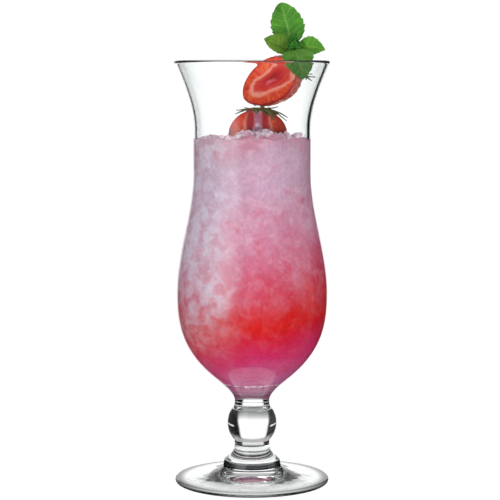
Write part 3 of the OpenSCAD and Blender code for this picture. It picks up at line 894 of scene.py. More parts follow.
def seed_places(length, radius, goal, count, rng):
    """Seeds sit in rows that spiral round the berry, each turned by the golden angle from the last."""
    places = []
    for k in range(count):
        u = 0.05 + 0.88 * ((k + 0.5) / count) ** 0.85
        across = radius * berry_share(u)
        turn = math.radians(GOLDEN_ANGLE) * k + rng.uniform(-0.06, 0.06)
        turn %= 2 * math.pi
        start = math.acos(max(-1, min(1, goal / max(across, 1e-6)))) if across > abs(goal) else 0
        margin = 0.9 * MM / max(across, 1e-6)
        if start > 0 and not start + margin < turn < 2 * math.pi - start - margin:
            continue
        places.append(((across * math.sin(turn), -across * math.cos(turn), u * length), turn, u))
    return places


def berry_normal(turn, u, length, radius):
    step = 0.01
    slope = radius * (berry_share(min(1, u + step)) - berry_share(max(0, u - step))) / (2 * step * length)
    return unit((math.sin(turn), -math.cos(turn), -slope))


print("a strawberry is widest at", BERRY_WIDE, "of its length from the tip")

# %% [markdown]
# A bump map could fake the dents round the seeds, but the skin's outline would stay too smooth against the
# light. So the mesh itself is moved: each ring is pushed in a little round every seed and moved by low
# noise, and both fade towards the slice, so that its edge stays clean.

# %% Skin of a strawberry half


def skin_points(length, radius, goal, rings, spots, shift):
    """The skin, ring by ring, each from one edge of the slice round the back to the other."""
    seeds = KDTree(len(spots))
    for k, (spot, _, _) in enumerate(spots):
        seeds.insert(spot, k)
    seeds.balance()
    points = []
    for u in rings:
        r = radius * berry_share(u)
        start = math.acos(max(-1, min(1, goal / r))) if r > abs(goal) else (0 if goal > 0 else math.pi)
        for j in range(SKIN_COLUMNS + 1):
            turn = start + (2 * math.pi - 2 * start) * j / SKIN_COLUMNS
            spot = Vector((r * math.sin(turn), -r * math.cos(turn), u * length))
            _, _, gap = seeds.find(spot)
            fade = min(1, j / 4, (SKIN_COLUMNS - j) / 4)
            dent = fade * 0.38 * MM * math.exp(-(gap / (0.75 * MM)) ** 2)
            lump = fade * 0.35 * MM * (noise.noise(spot * 120 + shift) - 0.6)
            points.append(spot + Vector(berry_normal(turn, u, length, radius)) * (lump - dent))
    return points


print("skin:", SKIN_RINGS, "rings of", SKIN_COLUMNS, "faces")

# %% [markdown]
# The cut face is a net of rings drawn out from the core. It is pulled in where the core is hollow, and
# raised and grooved along its fibres. Each point keeps two numbers for the finish: its direction from the
# core, and how far out it lies. The second is stretched, so that the pale band always falls on one mark of
# the colour ramp.

# %% Cut face of a strawberry half

# Where the pale band lies between the core and the skin, by the direction from the tip (0) to the crown (pi).
# The band is a long V that stays open towards the crown.
BAND_DIRECTIONS = (0, 0.35, 0.7, 1.1, 1.57, 2.1, 2.5, 2.8, math.pi)
BAND_PLACES = (0.74, 0.66, 0.52, 0.43, 0.40, 0.50, 0.72, 1.05, 1.25)
BAND_MARK = 0.46


def flesh_mark(angle, share):
    """The share from core to skin, stretched so that the pale band always falls on the same mark."""
    band = np.interp(abs(angle), BAND_DIRECTIONS, BAND_PLACES)
    if share < band:
        return BAND_MARK * share / band
    return BAND_MARK + (1 - BAND_MARK) * (share - band) / (1 - band)


def cut_net(rim, front, length, depth, grain):
    """Points and marks of the cut face from its core out to the rim, which is a ring of the skin's points."""
    points, marks = [], []
    core = Vector((0, -front, length * 0.56))
    for share in [0] + [0.04 + 0.96 * (k / NET_RINGS) ** 0.85 for k in range(NET_RINGS + 1)]:
        for corner in rim:
            spot = core.lerp(corner, share)
            angle = math.atan2(corner.x, core.z - corner.z)
            back = EDGE * max(0, (share - 0.86) / 0.14) ** 2.5
            up = (spot.z - length * 0.64) / (length * 0.13)
            hollow = depth * math.exp(-(spot.x / (1.5 * MM)) ** 2 - up ** 2)
            fibre = noise.noise(Vector((angle * 9, share * 1.6, grain))) * 0.30 * MM
            fibre *= min(1, share * 3) * (1 - share ** 6)
            swell = 0.45 * MM * (1 - share ** 4)
            if share < 1:
                spot.y = -front + back + hollow + fibre - swell + 0.2 * MM
            points.append(spot)
            marks.append((angle / (2 * math.pi) + 0.5, flesh_mark(angle, share)))
    return points, marks


def keep_marks(berry, marks):
    """Writes the marks into the piece's own map. Where a face spans the seam, its low end goes past 1."""
    flat = []
    for polygon in berry.data.polygons:
        corners = [marks[v] for v in polygon.vertices]
        wraps = max(c[0] for c in corners) - min(c[0] for c in corners) > 0.5
        flat += [(c[0] + (1 if wraps and c[0] < 0.5 else 0), c[1]) for c in corners]
    layer = berry.data.uv_layers.new(name="cut")
    layer.data.foreach_set("uv", [v for pair in flat for v in pair])


def berry_half(name, length, width, front, place, finishes, seeds, rng, depth):
    """A strawberry with its front sliced off at a distance from its axis, and a hollow in its core of a given
    depth. Returns it and its seeds' places."""
    radius = width / 2
    goal = front - EDGE
    rings, first, last = berry_rings(radius, goal)
    spots = seed_places(length, radius, goal, seeds, rng)
    shift = Vector((rng.uniform(0, 9), rng.uniform(0, 9), 0))
    skin = skin_points(length, radius, goal, rings, spots, shift)
    row = SKIN_COLUMNS + 1
    rim = [skin[i * row] for i in range(first, last + 1)]
    rim += [skin[i * row + SKIN_COLUMNS] for i in range(last - 1, first, -1)]
    net, net_marks = cut_net(rim, front, length, depth, shift.x)
    skin_faces = band_faces(len(rings), row, closed=False)
    net_faces = band_faces(len(net) // len(rim), len(rim), start=len(skin))
    berry = piece(name, [place @ p for p in skin + net], skin_faces + net_faces, finishes)
    numbers = [1] * len(skin_faces) + [0] * len(net_faces)
    berry.data.polygons.foreach_set("material_index", numbers)
    keep_marks(berry, [(0, 0)] * len(skin) + net_marks)
    point_outward(berry, 1e-6)
    crease(berry, 60)
    spread = []
    turn_only = place.to_3x3()
    for spot, turn, u in spots:
        normal = Vector(berry_normal(turn, u, length, radius))
        spread.append((place @ (Vector(spot) - normal * SEED_DEPTH), turn_only @ normal, turn_only @ TIPWARD))
    return berry, spread


print("cut face:", NET_RINGS, "rings from the core to the skin")

# %% [markdown]
# Flesh and skin have a finish each. On the flesh, colour follows the distance from the core, which the net
# keeps as the second number of its own map, and the fibres follow the first, the direction from the core.
# Wet fruit lets light in a little way, and Subsurface is what does that here.

# %% Strawberry finishes


def map_parts(tree, name):
    """The two numbers of a piece's own map."""
    kept = add(tree, "ShaderNodeUVMap", uv_map=name)
    parts = add(tree, "ShaderNodeSeparateXYZ", {0: kept.outputs[0]}).outputs
    return parts["X"], parts["Y"]


def pith_over(tree, flesh, patches, pith_x):
    """Lays a pale column of pith over the flesh, with painted shade in the hollow on each side, and paints
    shade over the flesh right of it."""
    place = add(tree, "ShaderNodeSeparateXYZ", {0: object_place(tree)}).outputs
    right = math_node(tree, "SUBTRACT", place["X"], pith_x)
    aside = math_node(tree, "MULTIPLY_ADD", patches, 2 * MM, math_node(tree, "ABSOLUTE", right))
    inner = smooth_span(tree, aside, 3 * MM, 3.8 * MM)
    # Painted shade in the hollow on each side of the pith.
    hollow = times(tree, inner, smooth_span(tree, aside, 5.2 * MM, 8 * MM, 0.85, 0))
    with_hollow_shade = mix_colours(tree, hollow, flesh, colour(128, 14, 22))
    speckle = smooth_span(tree, patches, 0.4, 0.62)
    pith = mix_colours(tree, speckle, colour(150, 96, 118), colour(198, 176, 192))
    column = smooth_span(tree, aside, 1.7 * MM, 3.4 * MM, 0.85, 0)
    with_pith = mix_colours(tree, column, with_hollow_shade, pith)
    # Painted shade over the flesh right of the pith.
    painted_right_shade = smooth_span(tree, right, 4 * MM, 11 * MM, 0, 0.6)
    return mix_colours(tree, painted_right_shade, with_pith, colour(104, 26, 14))


def flesh_finish(name, cores, flesh, rim, pith_x=None):
    """Wet cut flesh, with a column of pith at pith_x where that is given, and painted shade beside and right
    of it.
    """
    material, tree, shader = new_finish(name)
    direction, share = map_parts(tree, "cut")
    patches = noise_node(tree, object_place(tree), 260, 4, 0.6)
    wavy = math_node(tree, "ADD", share, math_node(tree, "MULTIPLY_ADD", patches, 0.3, -0.15))
    body = ramp_node(tree, wavy, [
        *cores, (0.35, colour(176, 56, 48)), (0.43, colour(198, 126, 112)), (0.50, colour(190, 100, 78)),
        (0.62, flesh), (0.88, flesh), (0.965, rim), (1.0, colour(90, 10, 14)),
    ])
    thread = add(tree, "ShaderNodeCombineXYZ", {0: times(tree, direction, 46.0), 1: times(tree, share, 2.2)})
    streaks = noise_node(tree, thread.outputs[0], 1.0, 2, 0.5)
    outside = times(tree, span_node(tree, share, 0.42, 0.6), span_node(tree, share, 0.98, 0.86))
    pale = times(tree, span_node(tree, streaks, 0.52, 0.68), outside)
    streaked = mix_colours(tree, times(tree, pale, 0.55), body, colour(206, 104, 52))
    dark = times(tree, span_node(tree, streaks, 0.46, 0.34), outside)
    final = mix_colours(tree, times(tree, dark, 0.5), streaked, colour(146, 14, 8))
    if pith_x is not None:
        final = pith_over(tree, final, patches, pith_x)
    relief = math_node(tree, "ADD", times(tree, streaks, 0.7), times(tree, patches, 0.5))
    feed(tree, shader, {
        "Base Color": final, "Roughness": 0.34, "Specular IOR Level": 0.2,
        "Subsurface Weight": 0.12, "Subsurface Radius": (1.0, 0.3, 0.2), "Subsurface Scale": 1.5 * MM,
        "Normal": bump_node(tree, relief, 0.5, 0.3 * MM),
    })
    return material


def skin_finish():
    material, tree, shader = new_finish("strawberry_skin")
    place = object_place(tree)
    patches = noise_node(tree, place, 120, 3, 0.5)
    fine = noise_node(tree, place, 1400, 2, 0.5)
    reds = [(0.3, colour(140, 8, 14)), (0.55, colour(166, 16, 16)), (0.8, colour(186, 36, 24))]
    feed(tree, shader, {
        "Base Color": ramp_node(tree, patches, reds),
        "Roughness": span_node(tree, patches, 0.3, 0.7, 0.2, 0.34),
        "Subsurface Weight": 0.1, "Subsurface Radius": (1.0, 0.2, 0.15), "Subsurface Scale": 1 * MM,
        "Normal": bump_node(tree, fine, 0.15, 0.1 * MM),
    })
    return material


def seed_finish():
    material, tree, shader = new_finish("strawberry_seed")
    spotted = span_node(tree, noise_node(tree, object_place(tree), 500, 2), 0.35, 0.65)
    feed(tree, shader, {
        "Base Color": mix_colours(tree, spotted, colour(200, 152, 76), colour(160, 76, 38)), "Roughness": 0.35
    })
    return material


upper_flesh = flesh_finish("upper_flesh", [
    (0.0, colour(188, 84, 88)), (0.12, colour(156, 22, 30)), (0.30, colour(168, 38, 26)),
], colour(180, 50, 20), colour(146, 18, 16))
lower_flesh = flesh_finish("lower_flesh", [
    (0.0, colour(196, 176, 194)), (0.12, colour(190, 140, 160)), (0.20, colour(140, 18, 22)),
    (0.31, colour(156, 34, 28)),
], colour(176, 44, 18), colour(150, 18, 12), lower_low.x + 14.1 * MM)
berry_skin = skin_finish()
berry_seed = seed_finish()
print("strawberry finishes:", upper_flesh.name, lower_flesh.name, berry_skin.name, berry_seed.name)

# %% [markdown]
# A strawberry carries about two hundred seeds of one shape, so Geometry Nodes set them. The tree puts a
# small flattened ball on each point, turns it to the skin with its long side towards the tip, then makes it
# all one mesh. The last steps are the same for every tree here that sets things on points, so they are one
# function.

# %% Seeds by Geometry Nodes


def new_tree(name, inputs):
    """A Geometry Nodes tree with named inputs. Returns it with the sockets that its inputs arrive at."""
    tree = bpy.data.node_groups.new(name, "GeometryNodeTree")
    for label, kind in (("Geometry", "Geometry"), *inputs):
        tree.interface.new_socket(label, in_out="INPUT", socket_type="NodeSocket" + kind)
    tree.interface.new_socket("Geometry", in_out="OUTPUT", socket_type="NodeSocketGeometry")
    return tree, add(tree, "NodeGroupInput").outputs


def set_on_points(tree, given, shape, rotation, scale):
    """Sets a copy of a shape on each point, makes all of them one smooth mesh and gives it the finish."""
    copies = add(tree, "GeometryNodeInstanceOnPoints", {
        "Points": given["Geometry"], "Instance": shape, "Rotation": rotation, "Scale": scale
    })
    real = add(tree, "GeometryNodeRealizeInstances", {0: copies.outputs[0]})
    smooth = add(tree, "GeometryNodeSetShadeSmooth", {0: real.outputs[0]})
    finish = add(tree, "GeometryNodeSetMaterial", {0: smooth.outputs[0], "Material": given["Finish"]})
    add(tree, "NodeGroupOutput", {0: finish.outputs[0]})


def run_tree(thing, tree, values, name):
    """Runs a tree on an object and returns the result as a plain mesh object."""
    modifier = thing.modifiers.new(tree.name, "NODES")
    modifier.node_group = tree
    for item in tree.interface.items_tree:
        if item.in_out == "INPUT" and item.name in values:
            modifier[item.identifier] = values[item.name]
    bpy.context.view_layer.update()
    graph = bpy.context.evaluated_depsgraph_get()
    mesh = bpy.data.meshes.new_from_object(thing.evaluated_get(graph))
    mesh.name = name
    made = bpy.data.objects.new(name, mesh)
    scene.collection.objects.link(made)
    bpy.data.objects.remove(thing)
    return made


def named_value(tree, name, kind="FLOAT_VECTOR"):
    node = add(tree, "GeometryNodeInputNamedAttribute", {"Name": name}, data_type=kind)
    return next(s for s in node.outputs if s.name == "Attribute" and s.enabled)


def scaled(tree, vector, scale):
    return add(tree, "ShaderNodeVectorMath", {0: vector, "Scale": scale}, operation="SCALE").outputs[0]


def seed_tree():
    tree, given = new_tree("set_seeds", [
        ("Length", "Float"), ("Width", "Float"), ("Thickness", "Float"), ("Seed", "Int"),
        ("Finish", "Material"),
    ])
    ball = add(tree, "GeometryNodeMeshUVSphere", {"Segments": 8, "Rings": 6, "Radius": 0.5})
    size = add(tree, "ShaderNodeCombineXYZ", {
        "X": given["Width"], "Y": given["Length"], "Z": given["Thickness"]
    })
    upright = add(tree, "FunctionNodeAlignRotationToVector", {
        "Vector": named_value(tree, "outward")
    }, axis="Z", pivot_axis="AUTO")
    turned = add(tree, "FunctionNodeAlignRotationToVector", {
        "Rotation": upright.outputs[0], "Vector": named_value(tree, "tipward")
    }, axis="Y", pivot_axis="Z")
    vary = add(tree, "FunctionNodeRandomValue", {
        "Min": 0.8, "Max": 1.15, "Seed": given["Seed"]
    }, data_type="FLOAT")
    scale = scaled(tree, size.outputs[0], vary.outputs[1])
    set_on_points(tree, given, ball.outputs["Mesh"], turned.outputs[0], scale)
    return tree


seeds_tree = seed_tree()
SEED_SIZE = (1.5, 0.95, 0.55)
print("seed tree:", len(seeds_tree.nodes), "nodes")


def set_seeds(name, spread, body, size=SEED_SIZE, finish=berry_seed, slot="strawberry"):
    """Points with two directions each, turned into seeds of a length, width and thickness in mm."""
    cloud = piece(name + "_points", [s[0] for s in spread], [], [])
    for label, column in (("outward", 1), ("tipward", 2)):
        layer = cloud.data.attributes.new(label, "FLOAT_VECTOR", "POINT")
        layer.data.foreach_set("vector", [v for s in spread for v in s[column]])
    length, width, thickness = (v * MM for v in size)
    made = run_tree(cloud, seeds_tree, {
        "Length": length, "Width": width, "Thickness": thickness, "Seed": 4, "Finish": finish
    }, name)
    settle(made, body, slot)


# %% [markdown]
# Two halves carry the garnish. The lower one stands in the slush, tip down and cut face to the front. The
# upper one lies across it at a slant, so its place is a turn about two axes, and how deep it hangs is
# worked out from its own outline, because a tilted cone's lowest point isn't at its end.

# %% Two strawberry halves
LOWER_LEN = 30.5 * MM
LOWER_D = 28.2 * MM
UPPER_LEN = 33.5 * MM
UPPER_D = 22 * MM
UPPER_FRONT = 4.5 * MM
LOWER_HOLLOW = 0.5 * MM
UPPER_HOLLOW = 2.4 * MM
TOP_TILT = math.radians(28)
TOP_TURN = math.radians(30)
SEED_COUNT = 190
berry_rng = random.Random(12)


def turn_about(axis, angle):
    return Matrix.Rotation(angle, 4, axis)


lower_place = Matrix.Translation((lower_low.x + LOWER_D / 2, lower_low.y, lower_low.z))
lower_half, lower_seeds = berry_half(
    "lower_strawberry_half", LOWER_LEN, LOWER_D, 0, lower_place, [lower_flesh, berry_skin], SEED_COUNT,
    berry_rng, LOWER_HOLLOW
)
settle(lower_half, "lower_strawberry", "strawberry", "lower_berry")
set_seeds("lower_seeds", lower_seeds, "lower_strawberry")


def upper_drop():
    """How far the lowest point of the tilted berry lies below its middle."""
    return min(
        (u - 0.5) * UPPER_LEN * math.sin(TOP_TILT) - UPPER_D / 2 * berry_share(u) * math.cos(TOP_TILT)
        for u in (i / 400 for i in range(401))
    )


upper_middle = Vector((9.2 * MM, lower_low.y + 2 * MM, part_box("upper_berry")[0].z - upper_drop()))
upper_place = (
    Matrix.Translation(upper_middle) @ turn_about("Z", -TOP_TURN) @ turn_about("Y", math.pi / 2 - TOP_TILT)
    @ Matrix.Translation((0, 0, -UPPER_LEN / 2))
)
upper_half, upper_seeds = berry_half(
    "upper_strawberry_half", UPPER_LEN, UPPER_D, UPPER_FRONT, upper_place, [upper_flesh, berry_skin],
    SEED_COUNT, berry_rng, UPPER_HOLLOW
)
settle(upper_half, "upper_strawberry", "strawberry", "upper_berry")
set_seeds("upper_seeds", upper_seeds, "upper_strawberry")
print("upper strawberry's middle in mm:", [round(v / MM, 1) for v in upper_middle])

# %% [markdown]
# The crown is a ring of narrow pointed leaves that lie on the berry's shoulder and lift at their tips as
# they dry. Each leaf is a thin closed strip, wide near its root, with a raised middle vein. The mint's
# leaves are made by the same strip, so it takes its path, its widths and its relief from outside.

# %% Leaf strips


def leaf_strip(path, sides, ups, halves, thickness, rise, marks, cup=0.0, columns=9):
    """Points, faces and map of a thin closed leaf along a path, and which of the faces are its underside. The
    rise is a function of the step and of the share across. The cup lifts both edges."""
    points, uv = [], []
    shares = [2 * k / (columns - 1) - 1 for k in range(columns)]
    n = 2 * columns
    for i, (middle, side, up, half) in enumerate(zip(path, sides, ups, halves)):
        top = [middle + side * (s * half) + up * (half * cup * abs(s) + rise(i, s)) for s in shares]
        low = [p - up * thickness * (1 - 0.7 * abs(s)) for p, s in zip(reversed(top), reversed(shares))]
        points += top + low
        uv += [(s, marks[i]) for s in shares + shares[::-1]]
    faces = band_faces(len(path), n)
    underside = [int(k % n >= columns - 1) for k in range(len(faces))]
    for base in (0, (len(path) - 1) * n):
        for k in range(columns - 1):
            faces.append((base + k, base + k + 1, base + n - 2 - k, base + n - 1 - k))
            underside.append(1)
    return points, faces, uv, underside


def join_strips(name, strips, finishes):
    points, faces, uv, underside = [], [], [], []
    for strip_points, strip_faces, strip_uv, strip_underside in strips:
        base = len(points)
        points += strip_points
        faces += [tuple(v + base for v in face) for face in strip_faces]
        uv += strip_uv
        underside += strip_underside
    made = piece(name, points, faces, finishes)
    if len(finishes) > 1:
        made.data.polygons.foreach_set("material_index", underside)
    layer = made.data.uv_layers.new(name="leaf")
    layer.data.foreach_set("uv", [v for corner in made.data.loops for v in uv[corner.vertex_index]])
    point_outward(made, merge=0)
    crease(made, 65)
    return made


CROWN_REACH = 14.5 * MM
CROWN_T = 0.35 * MM
CROWN_STEPS = 22
ROOT_GAP = 0.8 * MM
HUB_R = 3.2 * MM


def crown_strip(length, width, place, bearing, reach, broad, lift, curl, twist):
    """One leaf of a crown, from near the middle of the berry's top outwards and down its shoulder."""
    dome = (1 - BERRY_WIDE) * length
    radius = width / 2
    path, halves = [], []
    for i in range(CROWN_STEPS + 1):
        t = i / CROWN_STEPS
        r = ROOT_GAP + (reach - ROOT_GAP) * t
        drop = dome * (1 - math.sqrt(1 - (min(r, HUB_R) / radius) ** 2))
        if r >= HUB_R:
            drop += lift * dome / radius ** 2 / 2 * (r * r - HUB_R * HUB_R)
        angle = bearing + twist * t * t
        height = length + 0.6 * MM - drop + curl * t ** 3
        path.append(Vector((r * math.cos(angle), r * math.sin(angle), height)))
        halves.append(max(0.12 * MM, broad / 2 * math.sin(math.pi * (0.24 + 0.76 * t)) ** 0.8))
    sides, ups = [], []
    for i in range(CROWN_STEPS + 1):
        along = (path[min(CROWN_STEPS, i + 1)] - path[max(0, i - 1)]).normalized()
        side = along.cross(Vector((0, 0, 1))).normalized()
        sides.append(side)
        ups.append(side.cross(along))
    turn = place.to_3x3()

    def middle_vein(i, s):
        return 0.18 * MM * math.exp(-(s / 0.16) ** 2)

    return leaf_strip(
        [place @ p for p in path], [turn @ s for s in sides], [turn @ u for u in ups], halves, CROWN_T,
        middle_vein, [k * 0.25 for k in range(CROWN_STEPS + 1)], cup=0.28
    )


def crown_finish():
    """Green that dries to brown towards the tip, the second number of the map, with a paler middle vein."""
    material, tree, shader = new_finish("strawberry_crown")
    across, along = map_parts(tree, "leaf")
    patches = noise_node(tree, object_place(tree), 420, 4, 0.6)
    body = ramp_node(tree, span_node(tree, along, 0, 5.5), [
        (0.0, colour(122, 96, 40)), (0.35, colour(92, 82, 34)), (0.7, colour(54, 44, 22)),
        (1.0, colour(36, 26, 18)),
    ])
    mottled = mix_colours(tree, span_node(tree, patches, 0.4, 0.7), body, colour(76, 86, 34))
    vein = span_node(tree, math_node(tree, "ABSOLUTE", across), 0.16, 0.05, 0, 0.5)
    feed(tree, shader, {
        "Base Color": mix_colours(tree, vein, mottled, colour(122, 112, 58)), "Roughness": 0.55,
        "Normal": bump_node(tree, patches, 0.4, 0.2 * MM),
    })
    return material


crown_green = crown_finish()
print("crown leaves reach", round(CROWN_REACH / MM, 1), "mm")

# %% [markdown]
# No two leaves of a crown are alike, and a random ring of them would hide the cut faces, so each leaf is
# given one by one: its bearing in degrees, its share of the full reach, its width in mm, how closely it
# follows the shoulder, how far its tip curls up in mm, and its twist. The lower crown has leaves in front
# too.

# %% Two crowns


def crown(name, length, width, place, leaves, body, node):
    strips = []
    for bearing, share, broad, lift, curl, twist in leaves:
        turn, reach = math.radians(bearing), CROWN_REACH * share
        strips.append(crown_strip(length, width, place, turn, reach, broad * MM, lift, curl * MM, twist))
    settle(join_strips(name, strips, [crown_green]), body, "crown_leaf", node)


crown(
    "lower_leaf_crown", LOWER_LEN, LOWER_D, lower_place, [
        (-3, 1.0, 3.2, 0.7, 0.2, -0.15), (24, 0.82, 3.4, 0.85, 0.6, 0.1), (52, 0.95, 3.8, 0.7, 0.8, -0.1),
        (86, 0.78, 3.6, 0.85, 0.6, 0.15), (118, 1.0, 3.6, 0.7, 0.9, -0.1), (150, 0.84, 3.6, 0.8, 0.7, 0.1),
        (177, 0.72, 2.8, 0.35, 0.4, 0.1), (-20, 0.62, 3.4, 1.1, -0.6, 0.2), (-44, 0.42, 3.2, 1.2, -0.3, 0),
        (38, 0.5, 2.2, 0.4, 1.2, 0), (104, 0.5, 2.2, 0.4, 1.2, 0), (165, 0.46, 2.0, 0.2, 1.0, 0),
        (-12, 0.95, 3.6, 0.95, -0.6, 0.15), (-34, 0.74, 4.4, 1.3, -1.2, -0.2),
        (-62, 0.52, 4.6, 1.3, -1.6, 0.2), (-88, 0.4, 4.2, 1.3, -1.4, -0.2), (10, 0.7, 3.6, 0.3, 2.0, 0.1),
        (-120, 0.34, 3.6, 1.2, -1.0, 0.2),
    ], "lower_strawberry", "lower_crown"
)
crown(
    "upper_leaf_crown", UPPER_LEN, UPPER_D, upper_place, [
        (-4, 0.55, 2.2, 0.3, 6.0, 0.1), (24, 0.6, 2.8, 0.5, 3.5, -0.1), (58, 0.8, 3.6, 0.7, 0.6, 0.1),
        (90, 0.75, 3.4, 0.85, 1.0, -0.1), (122, 0.9, 3.4, 0.7, 0.8, 0.1), (152, 0.8, 3.4, 0.8, 1.0, 0),
        (180, 0.6, 2.6, 0.3, 2.0, 0.1), (10, 0.42, 2.0, 0.2, 4.4, 0), (74, 0.5, 2.2, 0.3, 1.4, 0),
    ], "upper_strawberry", "upper_crown"
)

# %% [markdown]
# Mint has paired leaves with a toothed edge that points to the tip. Side veins run from the midrib to the
# notches, and the flesh bulges between them, which gives the quilted look. Each leaf's map keeps how far
# across and how many teeth along each point lies, so the finish can draw the veins where the mesh has its
# bulges.

# %% Mint finish
VEIN_LEAN = 1.3


def mint_finish(name, dark, bright, vein, gloss=0.4):
    """Two greens in patches, a pale midrib and side veins, a fine net of veins between them, and a painted
    highlight on the crest of each bulge.
    """
    material, tree, shader = new_finish(name)
    side, along = map_parts(tree, "leaf")
    across = math_node(tree, "ABSOLUTE", side)
    phase = math_node(tree, "SUBTRACT", along, times(tree, across, VEIN_LEAN))
    share = math_node(tree, "FRACT", math_node(tree, "ADD", phase, 10.0))
    near = math_node(tree, "ABSOLUTE", math_node(tree, "SUBTRACT", share, 0.5))
    side_vein = times(tree, span_node(tree, near, 0.40, 0.49), span_node(tree, across, 1.0, 0.75))
    rib = span_node(tree, across, 0.10, 0.03)
    patches = noise_node(tree, object_place(tree), 170, 4, 0.55)
    cells = add(
        tree, "ShaderNodeTexVoronoi", {"Vector": object_place(tree), "Scale": 900}, feature="DISTANCE_TO_EDGE"
    ).outputs["Distance"]
    body = mix_colours(tree, span_node(tree, patches, 0.36, 0.64), dark, bright)
    # Painted highlight: lighter green towards the crest of each bulge between the side veins.
    body = mix_colours(tree, times(tree, span_node(tree, near, 0.45, 0.1), 0.25), body, bright)
    body = mix_colours(tree, times(tree, side_vein, 0.5), body, vein)
    body = mix_colours(tree, times(tree, rib, 0.75), body, vein)
    body = mix_colours(tree, span_node(tree, cells, 0.0, 0.06, 0.16, 0.0), body, vein)
    bulge = span_node(tree, near, 0.49, 0.25)
    height = math_node(tree, "ADD", bulge, span_node(tree, cells, 0, 0.2, 0, 0.3))
    feed(tree, shader, {
        "Base Color": body, "Roughness": span_node(tree, patches, 0.3, 0.7, gloss - 0.06, gloss + 0.1),
        "Specular IOR Level": 0.2, "Normal": bump_node(tree, height, 0.5, 0.25 * MM),
    })
    return material


# The four large leaves are one green in life. Their greens differ as painted light and shade: the front one
# darker behind the glass, the right one brighter.
back_green = mint_finish("mint_back", colour(33, 78, 17), colour(54, 104, 25), colour(84, 132, 48))
right_green = mint_finish("mint_right", colour(38, 86, 16), colour(60, 108, 24), colour(88, 126, 42))
left_green = mint_finish("mint_left", colour(38, 72, 14), colour(66, 96, 20), colour(88, 114, 38))
front_green = mint_finish("mint_front", colour(34, 72, 18), colour(56, 96, 28), colour(78, 112, 44))
young_green = mint_finish("mint_young", colour(22, 66, 18), colour(36, 90, 24), colour(64, 112, 40))
under_green = mint_finish("mint_under", colour(72, 118, 60), colour(94, 138, 76), colour(130, 166, 104), 0.6)
print("six mint finishes")

# %% [markdown]
# A leaf could be modelled flat and bent with a modifier. Here its midrib is a curve from the stalk to the
# tip, and each step along it lays one row of the strip, which keeps the root on the stalk and the tip where
# it is measured. Sines give the bulges, a narrow groove follows the midrib, and the edge steps in after
# each tooth.

# %% Mint leaves
LEAF_T = 0.7 * MM
VEIN_RISE = 0.25 * MM
BACK_LEAF_W = 17 * MM
STEPS_PER_TOOTH = 10
# A leaf's form: where it is widest, how blunt its tip is and how long a bare stalk it has.
BLUNT, OVAL, POINTED = (1.05, 0.6, 0.14), (0.95, 0.7, 0.14), (0.86, 0.9, 0.07)
stem_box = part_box("mint_stem")
MINT_STEM_R = (stem_box[1].x - stem_box[0].x) / 2
joint = Vector((
    (stem_box[0].x + stem_box[1].x) / 2, (stem_box[0].y + stem_box[1].y) / 2, stem_box[1].z - 2 * MINT_STEM_R
))


def leaf_share(t, form):
    """Half width as a share of the widest."""
    widest, blunt, bare = form
    if t <= bare or t >= 1:
        return 0
    return math.sin(math.pi * ((t - bare) / (1 - bare)) ** widest) ** blunt


def mint_leaf(up, reach, first, second, face, width, teeth, fold, form, wave=0.0):
    """A strip for one leaf. Its midrib starts on the stem, up above the joint, and ends at the reach, in mm.
    The first and second handle of its curve are shares of the reach. The face is the way that the leaf looks,
    and the fold lifts its halves by an angle."""
    reach = Vector(reach) * MM
    face = Vector(face).normalized()
    root = Vector((reach.x, reach.y, 0)).normalized() * MINT_STEM_R * 0.8 + Vector((0, 0, up))
    start = joint + root
    bends = [start + Vector([a * b for a, b in zip(reach, shares)]) for shares in (first, second)]
    handles = [start, *bends, start + reach]
    steps = (teeth + 1) * STEPS_PER_TOOTH
    path, sides, ups, halves, marks = [], [], [], [], []
    for i in range(steps + 1):
        t = i / steps
        along = bezier(handles, min(1, t + 0.01)) - bezier(handles, max(0, t - 0.01))
        along = Vector(along).normalized()
        side = along.cross(face).normalized()
        row = t * (teeth + 1)
        tooth = 0.9 + 0.1 * (row % 1) ** 0.7 if 0.16 < t < 0.98 else 0.95
        path.append(Vector(bezier(handles, t)))
        sides.append(side)
        ups.append(side.cross(along))
        halves.append(max(LEAF_T * 0.6, width / 2 * leaf_share(t, form) * tooth))
        marks.append(row)

    def quilting(i, s):
        phase = (marks[i] - VEIN_LEAN * abs(s)) % 1
        bulge = math.sin(math.pi * phase) ** 0.8 * math.sin(math.pi * min(1, abs(s)) ** 0.9)
        groove = 0.35 * MM * math.exp(-(s / 0.07) ** 2)
        ripple = wave * MM * math.sin(marks[i] * 1.7 + (0.6 if s > 0 else 0)) * abs(s) ** 2
        return (VEIN_RISE * 2.0 * bulge - groove + ripple) * leaf_share(i / steps, form) * width / BACK_LEAF_W

    cup = math.tan(math.radians(fold))
    return leaf_strip(path, sides, ups, halves, LEAF_T, quilting, marks, cup, columns=25)


def mint_piece(name, node, strips, finish):
    settle(join_strips(name, strips, [finish, under_green]), "mint_sprig", "mint", node)


print("mint leaves join at", [round(v / MM, 1) for v in joint], "mm")

# %% [markdown]
# The sprig has a large leaf behind, one to each side, and one in front that hangs over the berry with its
# tip inside the rim, so that tip is worked out from the rim. Five young leaves are folded together in the
# middle.

